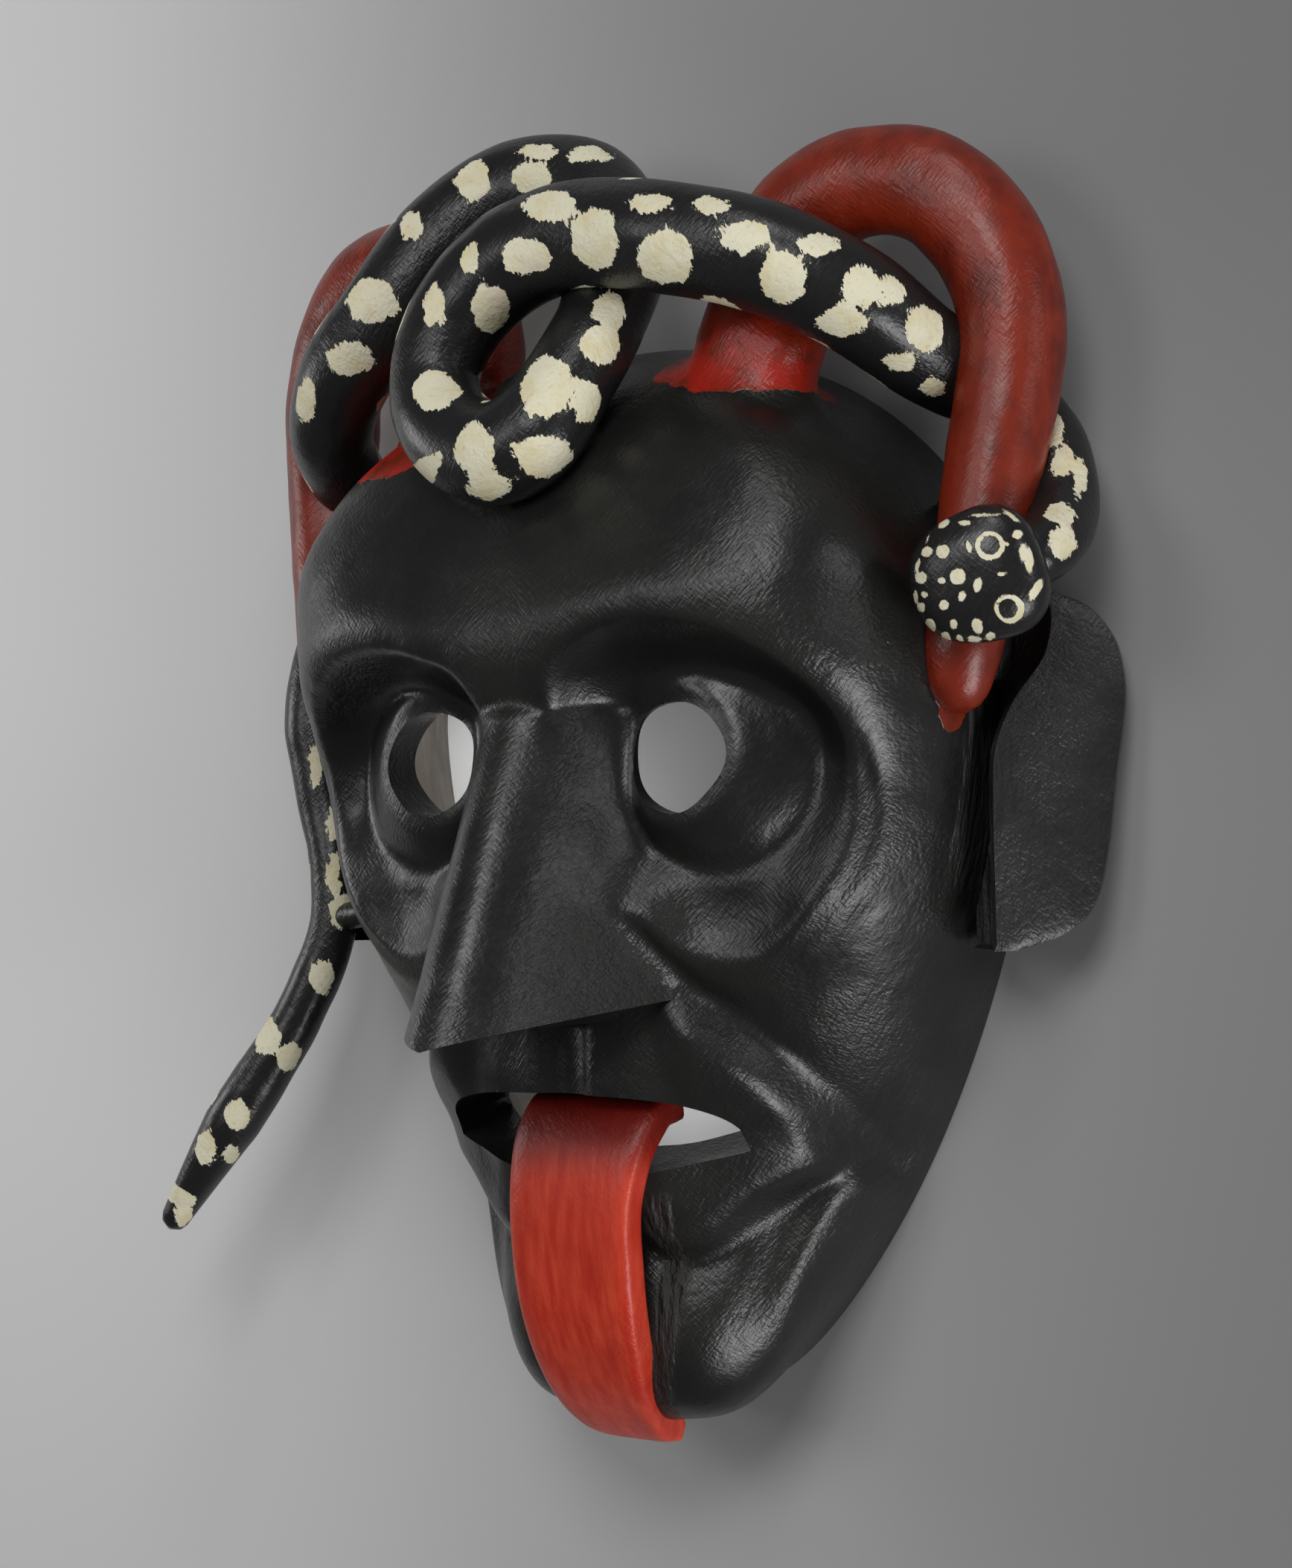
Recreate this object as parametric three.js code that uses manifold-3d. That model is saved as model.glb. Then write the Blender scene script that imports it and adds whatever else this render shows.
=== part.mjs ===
// A carved and painted wooden carnival mask: a black horned face with a spotted snake wound round its horns
// and its tongue stuck out. It lies on its back, face up.
// Face frame, in millimetres: x to the viewer's right, y up the face, z out of the face from the rim's plane.
import * as THREE from "three";
import Module from "manifold-3d";

// Rim outline: superellipses above and below the centre
const FACE_CENTRE_Y = 15;
const FACE_HALF_WIDTH = 92;
const FOREHEAD_RISE = 90.5;
const CHIN_DROP = 168;
const FOREHEAD_SQUARENESS = 1.95;
const JAW_SQUARENESS = 1.6;

// Domed front: height on the midline at some places down the face, before it rounds over at its two ends
const MIDLINE = [
  [105.5, 60],
  [80, 75],
  [60, 81],
  [40, 86],
  [28, 85],
  [15, 79],
  [0, 76],
  [-20, 74],
  [-45, 68],
  [-72, 68],
  [-86, 64],
  [-100, 58],
  [-115, 59],
  [-135, 60],
  [-153, 58],
];
const FOREHEAD_ROUNDING = 3.6;
const CHIN_ROUNDING = 6;

// How square the cross-section is: boxy at brow and chin, a wedge at the mouth
const SECTION_SQUARENESS = [
  [105.5, 5],
  [62, 5],
  [37, 3.4],
  [10, 3],
  [-30, 2.9],
  [-55, 2.3],
  [-85, 1.7],
  [-100, 1.9],
  [-130, 3],
  [-153, 3.4],
];
const CHIN_FLARE = 0.08;
const CHIN_FLARE_ANGLE = 20;
const CHIN_FLARE_SPREAD = 11;
const CHIN_FLARE_Z = 42;
const CHIN_FLARE_RISE = 26;
const RIM_BLEND = 14;

// Hollow back
const WALL_SIDE = 10;
const WALL_TOP = 13;
const WALL_CHIN = 17;
const HOLLOW_SHARE = 0.75;

// Eye sockets, lids and holes
const SOCKET = { x: 42.5, y: -4, halfWidth: 34, halfHeight: 38 };
const SOCKET_FLOOR = { from: -0.6, to: 0.8, cheek: 0.45, brow: 0.66 };
const SOCKET_DEPTH_BROW = 15;
const SOCKET_DEPTH_CHEEK = 7;
const BROW_CREST = { height: 2.4, at: 1.15, width: 0.24, full: 0.7 };
const EYE_BAG = { height: 3.5, at: 1, width: 0.16, full: 0.8 };
const LID = { x: 40.8, y: 2, halfWidth: 23, halfHeight: 21.5 };
const LID_BULGE = 7.5;
const EYE_HOLE = { x: 35, y: 6, radius: 12.5, innerRadius: 14, innerZ: 20, outerZ: 58 };
const EYE_RECESS = { radius: 13.5, z: 57, innerRadius: 28, innerZ: 38 };

// Nose: a pyramid with a rounded ridge
const NOSE_ROOT = { y: 22, z: 82, halfWidth: 20, base: 63 };
const NOSE_TIP = { y: -57, z: 118, halfWidth: 33.5, base: 57 };
const NOSE_WING_RISE = 9;
const NOSE_RIDGE_SHARE = 0.6;
const NOSE_KEEL = 2;

// Muzzle, lips and chin
const MUZZLE_PATH = [
  [22, -44],
  [31.8, -48.2],
  [38, -52.5],
  [44.9, -59.3],
  [50, -65.5],
  [54, -74],
  [55.8, -88],
];
const MUZZLE_EDGE = { height: 4, inset: 5, width: 16 };
const MUZZLE_FOLD = { depth: 5.6, width: 12 };
const MUZZLE_STEP = { from: -4, to: 5 };
const MUZZLE_FADE = { from: 24, to: 36 };
const CHIN_PATH = [
  [58.5, -86],
  [56.6, -89.8],
  [52.5, -97],
  [48.5, -104.3],
  [45, -112],
  [41.7, -120.2],
  [39, -127.5],
  [36.8, -134.3],
  [31, -150],
];
const CHIN_EDGE = { height: 3.2, width: 6, fromY: -90, toY: -98 };
const LIP_PATH = [
  [0, -92],
  [30, -92],
  [50, -88],
];
const LIP_HEIGHT = 2;
const LIP_WIDTH = 5.5;
const LIP_CREASE_PATH = [
  [0, -101.5],
  [19.8, -100.5],
  [28.5, -98.5],
  [36.5, -96],
  [44.1, -93.3],
  [51.6, -89.5],
  [57, -85],
];
const LIP_CREASE = { rise: 3, riseWidth: 8, depth: 4.5, depthWidth: 9, step: 2.5, fadeFrom: 60, fadeTo: 48 };
const PHILTRUM = { x: 1.5, depth: 3.2, width: 7, topY: -44, bottomY: -82, fade: 6 };
const MOUTH = {
  halfWidth: 44,
  cornerY: -84,
  cornerHeight: 0.5,
  topY: -71,
  archSquareness: 2.2,
  lowerY: -92,
  innerLowerY: -78,
  innerZ: 30,
  innerHalfWidth: 38,
  lipZ: 66,
  outerShare: -0.4,
};

// Tongue: centreline of its slab from inside the mouth to the tip
const TONGUE_X = 4;
const TONGUE_HALF_WIDTH = 18.5;
const TONGUE_RIGHT = [
  [-78, 18.5],
  [-86, 17],
  [-98, 15],
  [-113, 14.5],
  [-130, 12.5],
  [-147, 7.5],
  [-156, 4.5],
];
const TONGUE_HALF_THICKNESS = 4.5;
const TONGUE_SQUARENESS = 6;
const TONGUE_TIP = { width: 0.6, thickness: 0.6, least: 0.15, thinning: 3 };
const TONGUE_PATH = [
  [-74.5, 49],
  [-76, 56],
  [-83, 62],
  [-94, 64.5],
  [-109, 64],
  [-124, 60.5],
  [-138, 53],
  [-149, 42],
  [-155, 31],
];

// Horns: centreline of the right one and its radius at even steps along it
const HORN_PATH = [
  [40, 68, 40],
  [41.5, 84, 43],
  [43, 96, 42],
  [42, 108, 38],
  [45, 121, 36],
  [53, 131, 34],
  [66, 136, 32],
  [82, 133, 30],
  [94, 121, 28],
  [100, 105, 27],
  [100, 88, 28],
  [97, 66, 32],
  [94, 43, 36],
  [91.5, 27, 38],
  [91, 14, 38],
];
const HORN_RADII = [20, 20.5, 17, 13.3, 12.3, 12.5, 12.5, 12.5, 12.5, 12.3, 12, 11, 10, 9, 6];
const HORN_DEPTH_SHARES = [0.6, 0.65, 0.75, 0.92, 1, 1, 1, 1, 1, 1, 1, 1, 1, 1, 1];
const LEFT_HORN_SHARE = 0.93;

// Snake: centreline from the neck to the tip of the tail, and its radius at some points of it
const SNAKE_PATH = [
  [108, 45, 46],
  [112, 51, 34],
  [109, 60, 22],
  [102, 75, 15],
  [92, 86, 16],
  [82, 95, 32],
  [72, 107, 50],
  [57, 116, 60],
  [36, 122, 66],
  [11, 126, 66],
  [-8, 122, 67],
  [-22, 110, 70],
  [-26, 95, 74],
  [-18, 82, 78],
  [-4, 76, 80],
  [6, 80, 79],
  [11, 93, 71],
  [11, 108, 58],
  [6, 128, 43],
  [-8, 143, 36],
  [-26, 145, 39],
  [-42, 134, 48],
  [-56, 115, 55],
  [-70, 102, 54],
  [-81, 89, 46],
  [-86, 76, 30],
  [-90, 65, 17],
  [-99, 52, 17],
  [-104, 36, 24],
  [-105, 18, 28],
  [-102, 0, 28],
  [-98, -18, 29],
  [-97, -35, 31],
  [-105, -58, 36],
  [-122, -86, 44],
  [-141, -114, 48],
];
const SNAKE_RADII = [
  7, 7.5, 8.5, 9, 9.5, 11, 12, 12.5, 12.5, 12.5, 12.5, 11.5, 10.5, 11.5, 12, 11.5, 10.5, 10.5, 12,
  12.5, 12.5, 12, 12, 11.5, 10.5, 9.5, 8.5, 8, 7.5, 7.2, 7, 6.5, 6.2, 6.6, 7.4, 3.4,
];
const HEAD_CENTRE = [102.5, 43, 50];
const HEAD_AXIS = [-0.9, -0.3, 0.3];
const HEAD_TOP = [0.45, 0, 0.9];
const HEAD_TAPER = 0.12;
const HEAD_SQUARENESS = 2.5;
const HEAD_END_STEP = 0.2;
const HEAD_HALF = { length: 14.8, width: 14.4, thickness: 9.5 };
const STRUT = { from: [-97, -33, 31], to: [-80, -31, 34], radius: 3.5 };
const TEMPLE_WEB = { from: [85, 68, 18], to: [87, 16, 22], radius: 9 };
const LOOP_WEB = { from: [-8, 84, 70], to: [-6, 100, 40], radius: 9 };

// Right ear: its face runs from the front edge, beside the channel, out and back to the rim
const EAR_FRONT = { x: 95, z: 33 };
const EAR_SLOPE = 1.14;
const EAR_TOP_Y = 41;
const EAR_BOTTOM_Y = -39;
const EAR_REACH = [
  [41, 11],
  [38, 16],
  [32, 19.8],
  [26, 21.4],
  [17, 22],
  [0, 20.3],
  [-18, 18.6],
  [-30, 16],
  [-36, 11],
  [-39, 4],
];
const EAR_FRONT_SHIFT = [
  [41, 9.6],
  [33, 9.6],
  [26, 8.2],
  [17, 3.6],
  [8, 0.8],
  [0, 0],
  [-39, 0],
];
const EAR_LEAST_Z = 2;
const EAR_THICKNESS = 8;
const EAR_ROOT_X = 84;
const EAR_BACK = { x: 0.8, z: 0.7 };
const EAR_BEVEL = { outer: 1, inner: 2, drop: 3 };
const EAR_FOLD = { outer: 1.5, inner: 0.5, drop: 1.5, fall: 2 };
const CHANNEL = { x: 90, z: 19, slope: 2.5 };
const LEFT_EAR_SHARE = 0.92;

// Facets
const FACE_COLUMNS = 36;
const FACE_ROWS = 48;
const HOLLOW_COLUMNS = 12;
const HOLLOW_ROWS = 16;
const TUBE_SIDES = 9;
const HORN_STEPS = 19;
const SNAKE_STEPS = 64;
const HEAD_STEPS = 10;
const HEAD_SIDES = 12;
const EYE_SIDES = 20;
const NOSE_STEPS = 9;
const NOSE_COLUMNS = 12;
const MOUTH_STEPS = 14;
const TONGUE_STEPS = 18;
const TONGUE_SIDES = 12;
const EAR_STEPS = 12;
const BRIDGE_STEPS = 4;
const BRIDGE_SIDES = 7;
const ROD_END_LEAST = 0.02;
const DOME_STEPS = 200;
const DOME_RISE = 75;

// Cuts start below the rim and end above the nose
const BELOW_RIM = -5;
const ABOVE_NOSE = 125;

// The group's place: its origin is below the middle of the mask's box, on the plane that it lies on
const ORIGIN = { x: -11.6, y: 0.2 };

const wasm = await Module();
wasm.setup();

const clamp = (v, low, high) => Math.min(high, Math.max(low, v));
const mix = (a, b, t) => a + (b - a) * t;
const bell = (d) => Math.exp(-d * d);
const apart = (p, q) => Math.hypot(p[0] - q[0], p[1] - q[1], p[2] - q[2]);

function smoothstep(low, high, v) {
  const t = clamp((v - low) / (high - low), 0, 1);
  return t * t * (3 - 2 * t);
}

// Smooth value at y from stations [y, value] that run down the face
function along(stations, y) {
  const last = stations.length - 1;
  if (y >= stations[0][0]) return stations[0][1];
  if (y <= stations[last][0]) return stations[last][1];
  const i = stations.findIndex((s) => s[0] <= y) - 1;
  const slope = (k) => {
    const a = stations[Math.max(k - 1, 0)];
    const b = stations[Math.min(k + 1, last)];
    return (b[1] - a[1]) / (b[0] - a[0]);
  };
  const [y0, v0] = stations[i];
  const [y1, v1] = stations[i + 1];
  const h = y1 - y0;
  const t = (y - y0) / h;
  const t2 = t * t;
  const t3 = t2 * t;
  return (
    (2 * t3 - 3 * t2 + 1) * v0 +
    (t3 - 2 * t2 + t) * h * slope(i) +
    (3 * t2 - 2 * t3) * v1 +
    (t3 - t2) * h * slope(i + 1)
  );
}

// Distance from a point to an open path of straight stretches, below zero on the path's left
function beside(path, x, y) {
  let best = Infinity;
  for (let i = 1; i < path.length; i++) {
    const [ax, ay] = path[i - 1];
    const [bx, by] = path[i];
    const length2 = (bx - ax) ** 2 + (by - ay) ** 2;
    const t = clamp(((x - ax) * (bx - ax) + (y - ay) * (by - ay)) / length2, 0, 1);
    const gone = Math.hypot(x - ax - t * (bx - ax), y - ay - t * (by - ay));
    const turned = (bx - ax) * (y - ay) - (by - ay) * (x - ax);
    if (gone < Math.abs(best)) best = turned > 0 ? -gone : gone;
  }
  return best;
}

// Share of a quarter superellipse's height at share t of its width
const quarter = (t, power) => (1 - clamp(t, 0, 1) ** power) ** (1 / power);

// The dome of the face, or of its hollow when the outline is drawn in by wall and the height by share
function domeHeight(x, y, wall, share) {
  const drop = y - FACE_CENTRE_Y;
  const above = drop >= 0;
  const reach = above ? FOREHEAD_RISE - wall.top : CHIN_DROP - wall.chin;
  const t = Math.abs(drop) / reach;
  const halfWidth = (FACE_HALF_WIDTH - wall.side) * quarter(t, above ? FOREHEAD_SQUARENESS : JAW_SQUARENESS);
  if (halfWidth < 1e-6) return 0;
  const end = quarter(t, above ? FOREHEAD_ROUNDING : CHIN_ROUNDING);
  const section = quarter(Math.abs(x) / halfWidth, along(SECTION_SQUARENESS, y));
  return share * along(MIDLINE, y) * end * section;
}

// What is carved into and left on the dome
function relief(x, y) {
  const ax = Math.abs(x);
  const sx = (ax - SOCKET.x) / SOCKET.halfWidth;
  const sy = (y - SOCKET.y) / SOCKET.halfHeight;
  const q = Math.hypot(sx, sy);
  const up = smoothstep(SOCKET_FLOOR.from, SOCKET_FLOOR.to, sy);
  const floor = mix(SOCKET_FLOOR.cheek, SOCKET_FLOOR.brow, up);
  const socket = mix(SOCKET_DEPTH_CHEEK, SOCKET_DEPTH_BROW, up) * (1 - smoothstep(floor, 1, q));
  const crest = BROW_CREST.height * bell((q - BROW_CREST.at) / BROW_CREST.width) * smoothstep(0, BROW_CREST.full, sy);
  const bag = EYE_BAG.height * bell((q - EYE_BAG.at) / EYE_BAG.width) * smoothstep(0, EYE_BAG.full, -sy);
  const lidQ = Math.hypot((ax - LID.x) / LID.halfWidth, (y - LID.y) / LID.halfHeight);
  const lid = LID_BULGE * Math.sqrt(Math.max(0, 1 - lidQ * lidQ));
  const beyond = beside(MUZZLE_PATH, ax, y);
  const edge = MUZZLE_EDGE.height * bell(Math.max(beyond - MUZZLE_EDGE.inset, 0) / MUZZLE_EDGE.width);
  const fold = MUZZLE_FOLD.depth * Math.exp(Math.min(beyond, 0) / MUZZLE_FOLD.width);
  const step = mix(-fold, edge, smoothstep(MUZZLE_STEP.from, MUZZLE_STEP.to, beyond));
  const muzzle = step * smoothstep(MUZZLE_FADE.from, MUZZLE_FADE.to, ax);
  const ridge = CHIN_EDGE.height * bell(beside(CHIN_PATH, ax, y) / CHIN_EDGE.width);
  const chin = ridge * smoothstep(CHIN_EDGE.fromY, CHIN_EDGE.toY, y);
  const lip = LIP_HEIGHT * bell(beside(LIP_PATH, ax, y) / LIP_WIDTH);
  const below = beside(LIP_CREASE_PATH, ax, y);
  const { rise, riseWidth, depth, depthWidth, fadeFrom, fadeTo } = LIP_CREASE;
  const over = rise * Math.exp(Math.min(below, 0) / riseWidth);
  const under = depth * Math.exp(-Math.max(below, 0) / depthWidth);
  const turned = smoothstep(-LIP_CREASE.step, LIP_CREASE.step, below);
  const crease = mix(over, -under, turned) * smoothstep(fadeFrom, fadeTo, ax);
  const { topY, bottomY, fade } = PHILTRUM;
  const groove = smoothstep(bottomY, bottomY + fade, y) * smoothstep(topY, topY - fade, y);
  const philtrum = PHILTRUM.depth * bell((x - PHILTRUM.x) / PHILTRUM.width) * groove;
  return crest + bag + lid + muzzle + chin + lip + crease - socket - philtrum;
}

// Even steps over the dome's curve, as shares of the way from the centre to the rim
const STEP_TABLE = Array.from({ length: DOME_STEPS + 1 }, (_, i) => {
  const turn = (i / DOME_STEPS) * (Math.PI / 2);
  return [Math.sin(turn) ** (2 / 3), Math.cos(turn) ** (2 / 3)];
});
const STEP_LENGTHS = [0];
for (let i = 1; i <= DOME_STEPS; i++) {
  const [g0, e0] = STEP_TABLE[i - 1];
  const [g1, e1] = STEP_TABLE[i];
  STEP_LENGTHS.push(STEP_LENGTHS[i - 1] + Math.hypot(FACE_HALF_WIDTH * (g1 - g0), DOME_RISE * (e1 - e0)));
}

function evenStep(r) {
  const wanted = r * STEP_LENGTHS[DOME_STEPS];
  const found = STEP_LENGTHS.findIndex((s) => s >= wanted);
  const i = found < 0 ? DOME_STEPS : Math.max(1, found);
  const t = (wanted - STEP_LENGTHS[i - 1]) / (STEP_LENGTHS[i] - STEP_LENGTHS[i - 1]);
  return clamp(mix(STEP_TABLE[i - 1][0], STEP_TABLE[i][0], t), 0, 1);
}

// A closed solid from vertices and triangles
function solid(vertices, triangles) {
  const mesh = new wasm.Mesh({
    numProp: 3,
    vertProperties: new Float32Array(vertices.flat()),
    triVerts: new Uint32Array(triangles.flat()),
  });
  return new wasm.Manifold(mesh);
}

// A dome on the rim's plane: a square grid drawn out to the outline, closed by a flat underside
function dome(columns, rows, wall, share, carve, bottom) {
  const vertices = [];
  const triangles = [];
  const at = (i, j) => j * (columns + 1) + i;
  for (let j = 0; j <= rows; j++) {
    for (let i = 0; i <= columns; i++) {
      const u = (2 * i) / columns - 1;
      const v = (2 * j) / rows - 1;
      vertices.push(domePoint(u, v, wall, share, carve, bottom));
    }
  }
  for (let j = 0; j < rows; j++) {
    for (let i = 0; i < columns; i++) {
      const [a, b, c, d] = [at(i, j), at(i + 1, j), at(i + 1, j + 1), at(i, j + 1)];
      const rising = apart(vertices[a], vertices[c]) < apart(vertices[b], vertices[d]);
      triangles.push(...(rising ? [[a, b, c], [a, c, d]] : [[a, b, d], [b, c, d]]));
    }
  }
  const loop = [];
  for (let i = 0; i < columns; i++) loop.push(at(i, 0));
  for (let j = 0; j < rows; j++) loop.push(at(columns, j));
  for (let i = columns; i > 0; i--) loop.push(at(i, rows));
  for (let j = rows; j > 0; j--) loop.push(at(0, j));
  const hub = vertices.length;
  vertices.push([0, FACE_CENTRE_Y, bottom]);
  loop.forEach((a, k) => triangles.push([a, hub, loop[(k + 1) % loop.length]]));
  return solid(vertices, triangles);
}

function domePoint(u, v, wall, share, carve, bottom) {
  const dx = u * Math.sqrt(1 - (v * v) / 2);
  const dy = v * Math.sqrt(1 - (u * u) / 2);
  const r = Math.hypot(dx, dy);
  if (r < 1e-9) return [0, FACE_CENTRE_Y, Math.max(bottom, domeHeight(0, FACE_CENTRE_Y, wall, share))];
  const above = dy >= 0;
  const power = above ? FOREHEAD_SQUARENESS : JAW_SQUARENESS;
  const rise = above ? FOREHEAD_RISE - wall.top : CHIN_DROP - wall.chin;
  const g = evenStep(r) / ((Math.abs(dx) / r) ** power + (Math.abs(dy) / r) ** power) ** (1 / power);
  const x = ((FACE_HALF_WIDTH - wall.side) * g * dx) / r;
  const y = FACE_CENTRE_Y + (rise * g * dy) / r;
  if (r > 1 - 1e-9) return [x, y, bottom];
  const base = domeHeight(x, y, wall, share);
  const z = base + (carve ? relief(x, y) * smoothstep(0, RIM_BLEND, base) : 0);
  const angle = (Math.atan2(Math.abs(x) / FACE_HALF_WIDTH, (FACE_CENTRE_Y - y) / CHIN_DROP) * 180) / Math.PI;
  const level = bell((z - CHIN_FLARE_Z) / CHIN_FLARE_RISE);
  const flare = CHIN_FLARE * bell((angle - CHIN_FLARE_ANGLE) / CHIN_FLARE_SPREAD) * level;
  return [x * (1 + flare), FACE_CENTRE_Y + (y - FACE_CENTRE_Y) * (1 + flare), Math.max(bottom, z)];
}

// A closed solid from rings of points, each with as many points as the next, and flat ends
function loft(rings) {
  const count = rings[0].length;
  const vertices = rings.flat();
  const triangles = [];
  for (let k = 1; k < rings.length; k++) {
    for (let i = 0; i < count; i++) {
      const a = (k - 1) * count + i;
      const b = (k - 1) * count + ((i + 1) % count);
      triangles.push([a, b, b + count], [a, b + count, a + count]);
    }
  }
  const middle = (ring) => [0, 1, 2].map((c) => ring.reduce((sum, p) => sum + p[c], 0) / count);
  const first = vertices.push(middle(rings[0])) - 1;
  const last = vertices.push(middle(rings.at(-1))) - 1;
  const from = (rings.length - 1) * count;
  for (let i = 0; i < count; i++) {
    triangles.push([first, (i + 1) % count, i], [last, from + i, from + ((i + 1) % count)]);
  }
  const made = solid(vertices, triangles);
  return made.volume() > 0 ? made : solid(vertices, triangles.map(([a, b, c]) => [a, c, b]));
}

// Value at share t of an evenly spaced list
function listAt(list, t) {
  const place = clamp(t, 0, 1) * (list.length - 1);
  const i = Math.min(Math.floor(place), list.length - 2);
  return mix(list[i], list[i + 1], place - i);
}

// A rod along a smooth path through points, with rounded ends, and a radius and a share of depth for each point
function rod(path, radii, steps, sides, depths = [1, 1]) {
  const curve = new THREE.CatmullRomCurve3(path.map((p) => new THREE.Vector3(...p)), false, "centripetal");
  const frames = curve.computeFrenetFrames(steps, false);
  const length = curve.getLength();
  const rings = [];
  for (let k = 0; k <= steps; k++) {
    const share = k / steps;
    const centre = curve.getPointAt(share);
    const radius = listAt(radii, curve.getUtoTmapping(share));
    const depth = listAt(depths, curve.getUtoTmapping(share));
    const fromEnd = (Math.min(share, 1 - share) * length) / radius;
    const round = Math.sqrt(1 - (1 - clamp(fromEnd, ROD_END_LEAST, 1)) ** 2);
    rings.push(
      Array.from({ length: sides }, (_, i) => {
        const turn = (i / sides) * 2 * Math.PI;
        const side = frames.normals[k].clone().multiplyScalar(Math.cos(turn) * radius * round);
        side.addScaledVector(frames.binormals[k], Math.sin(turn) * radius * round);
        side.z *= depth;
        return centre.clone().add(side).toArray();
      }),
    );
  }
  return loft(rings);
}

function nose() {
  const rings = [];
  for (let k = 0; k <= NOSE_STEPS; k++) {
    const t = k / NOSE_STEPS;
    const value = (key) => mix(NOSE_ROOT[key], NOSE_TIP[key], t);
    const half = value("halfWidth");
    const ring = [];
    for (let i = 0; i <= NOSE_COLUMNS; i++) {
      const s = (2 * i) / NOSE_COLUMNS - 1;
      const ridge = 1 - Math.hypot(s, NOSE_RIDGE_SHARE) + NOSE_RIDGE_SHARE;
      const top = 1 + NOSE_RIDGE_SHARE - Math.hypot(1, NOSE_RIDGE_SHARE);
      const share = (ridge - top) / (1 - top);
      const y = value("y") + NOSE_WING_RISE * t * Math.abs(s);
      ring.push([s * half, y, mix(value("base"), value("z"), share)]);
    }
    ring.push([0, value("y"), value("base") - NOSE_KEEL]);
    rings.push(ring);
  }
  return loft(rings);
}

// An eye hole, and the hollow carved out behind it to thin the wood round it
function eyeHole(side) {
  const ring = (z, radius) =>
    Array.from({ length: EYE_SIDES }, (_, i) => {
      const turn = (i / EYE_SIDES) * 2 * Math.PI;
      return [side * EYE_HOLE.x + radius * Math.cos(turn), EYE_HOLE.y + radius * Math.sin(turn), z];
    });
  const { radius, innerRadius, innerZ, outerZ } = EYE_HOLE;
  const hole = loft([ring(innerZ, innerRadius), ring(outerZ, radius), ring(ABOVE_NOSE, radius)]);
  const recess = loft([ring(EYE_RECESS.innerZ, EYE_RECESS.innerRadius), ring(EYE_RECESS.z, EYE_RECESS.radius)]);
  return hole.add(recess);
}

// The mouth: an arched slot cut right through, over a lower lip that slopes up towards the inside
function mouth() {
  const steps = MOUTH_STEPS;
  const section = (z) => {
    const deep = clamp((MOUTH.lipZ - z) / (MOUTH.lipZ - MOUTH.innerZ), MOUTH.outerShare, 1);
    const halfWidth = mix(MOUTH.halfWidth, MOUTH.innerHalfWidth, Math.max(deep, 0));
    const lowerY = mix(MOUTH.lowerY, MOUTH.innerLowerY, deep);
    const cornerY = Math.max(MOUTH.cornerY, lowerY + MOUTH.cornerHeight);
    const ring = [];
    for (let i = 0; i <= steps; i++) {
      const s = (2 * i) / steps - 1;
      const arch = quarter(Math.abs(s), MOUTH.archSquareness);
      ring.push([s * halfWidth, mix(cornerY, MOUTH.topY, arch), z]);
    }
    for (let i = 1; i < steps; i++) {
      const s = 1 - (2 * i) / steps;
      ring.push([s * halfWidth, mix(cornerY, lowerY, quarter(Math.abs(s), 2)), z]);
    }
    return ring;
  };
  return loft([BELOW_RIM, MOUTH.innerZ, MOUTH.lipZ, ABOVE_NOSE].map(section));
}

function tongue() {
  const curve = new THREE.CatmullRomCurve3(TONGUE_PATH.map(([y, z]) => new THREE.Vector3(0, y, z)));
  const rings = [];
  for (let k = 0; k <= TONGUE_STEPS; k++) {
    const share = k / TONGUE_STEPS;
    const at = curve.getPointAt(share);
    const ahead = curve.getTangentAt(share);
    const left = ((1 - share) * curve.getLength()) / TONGUE_HALF_WIDTH;
    const round = Math.sqrt(1 - (1 - clamp(left, TONGUE_TIP.least, 1)) ** 2);
    const leftHalf = TONGUE_HALF_WIDTH * mix(TONGUE_TIP.width, 1, round);
    const rightHalf = along(TONGUE_RIGHT, at.y);
    const thick = TONGUE_HALF_THICKNESS * mix(TONGUE_TIP.thickness, 1, Math.min(1, TONGUE_TIP.thinning * left));
    rings.push(
      Array.from({ length: TONGUE_SIDES }, (_, i) => {
        const turn = ((i + 0.5) / TONGUE_SIDES) * 2 * Math.PI;
        const c = Math.cos(turn);
        const s = Math.sin(turn);
        const fit = (c ** TONGUE_SQUARENESS + s ** TONGUE_SQUARENESS) ** (-1 / TONGUE_SQUARENESS);
        const out = s * fit * thick;
        return [TONGUE_X + c * fit * (c > 0 ? rightHalf : leftHalf), at.y - ahead.z * out, at.z + ahead.y * out];
      }),
    );
  }
  return loft(rings);
}

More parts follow.
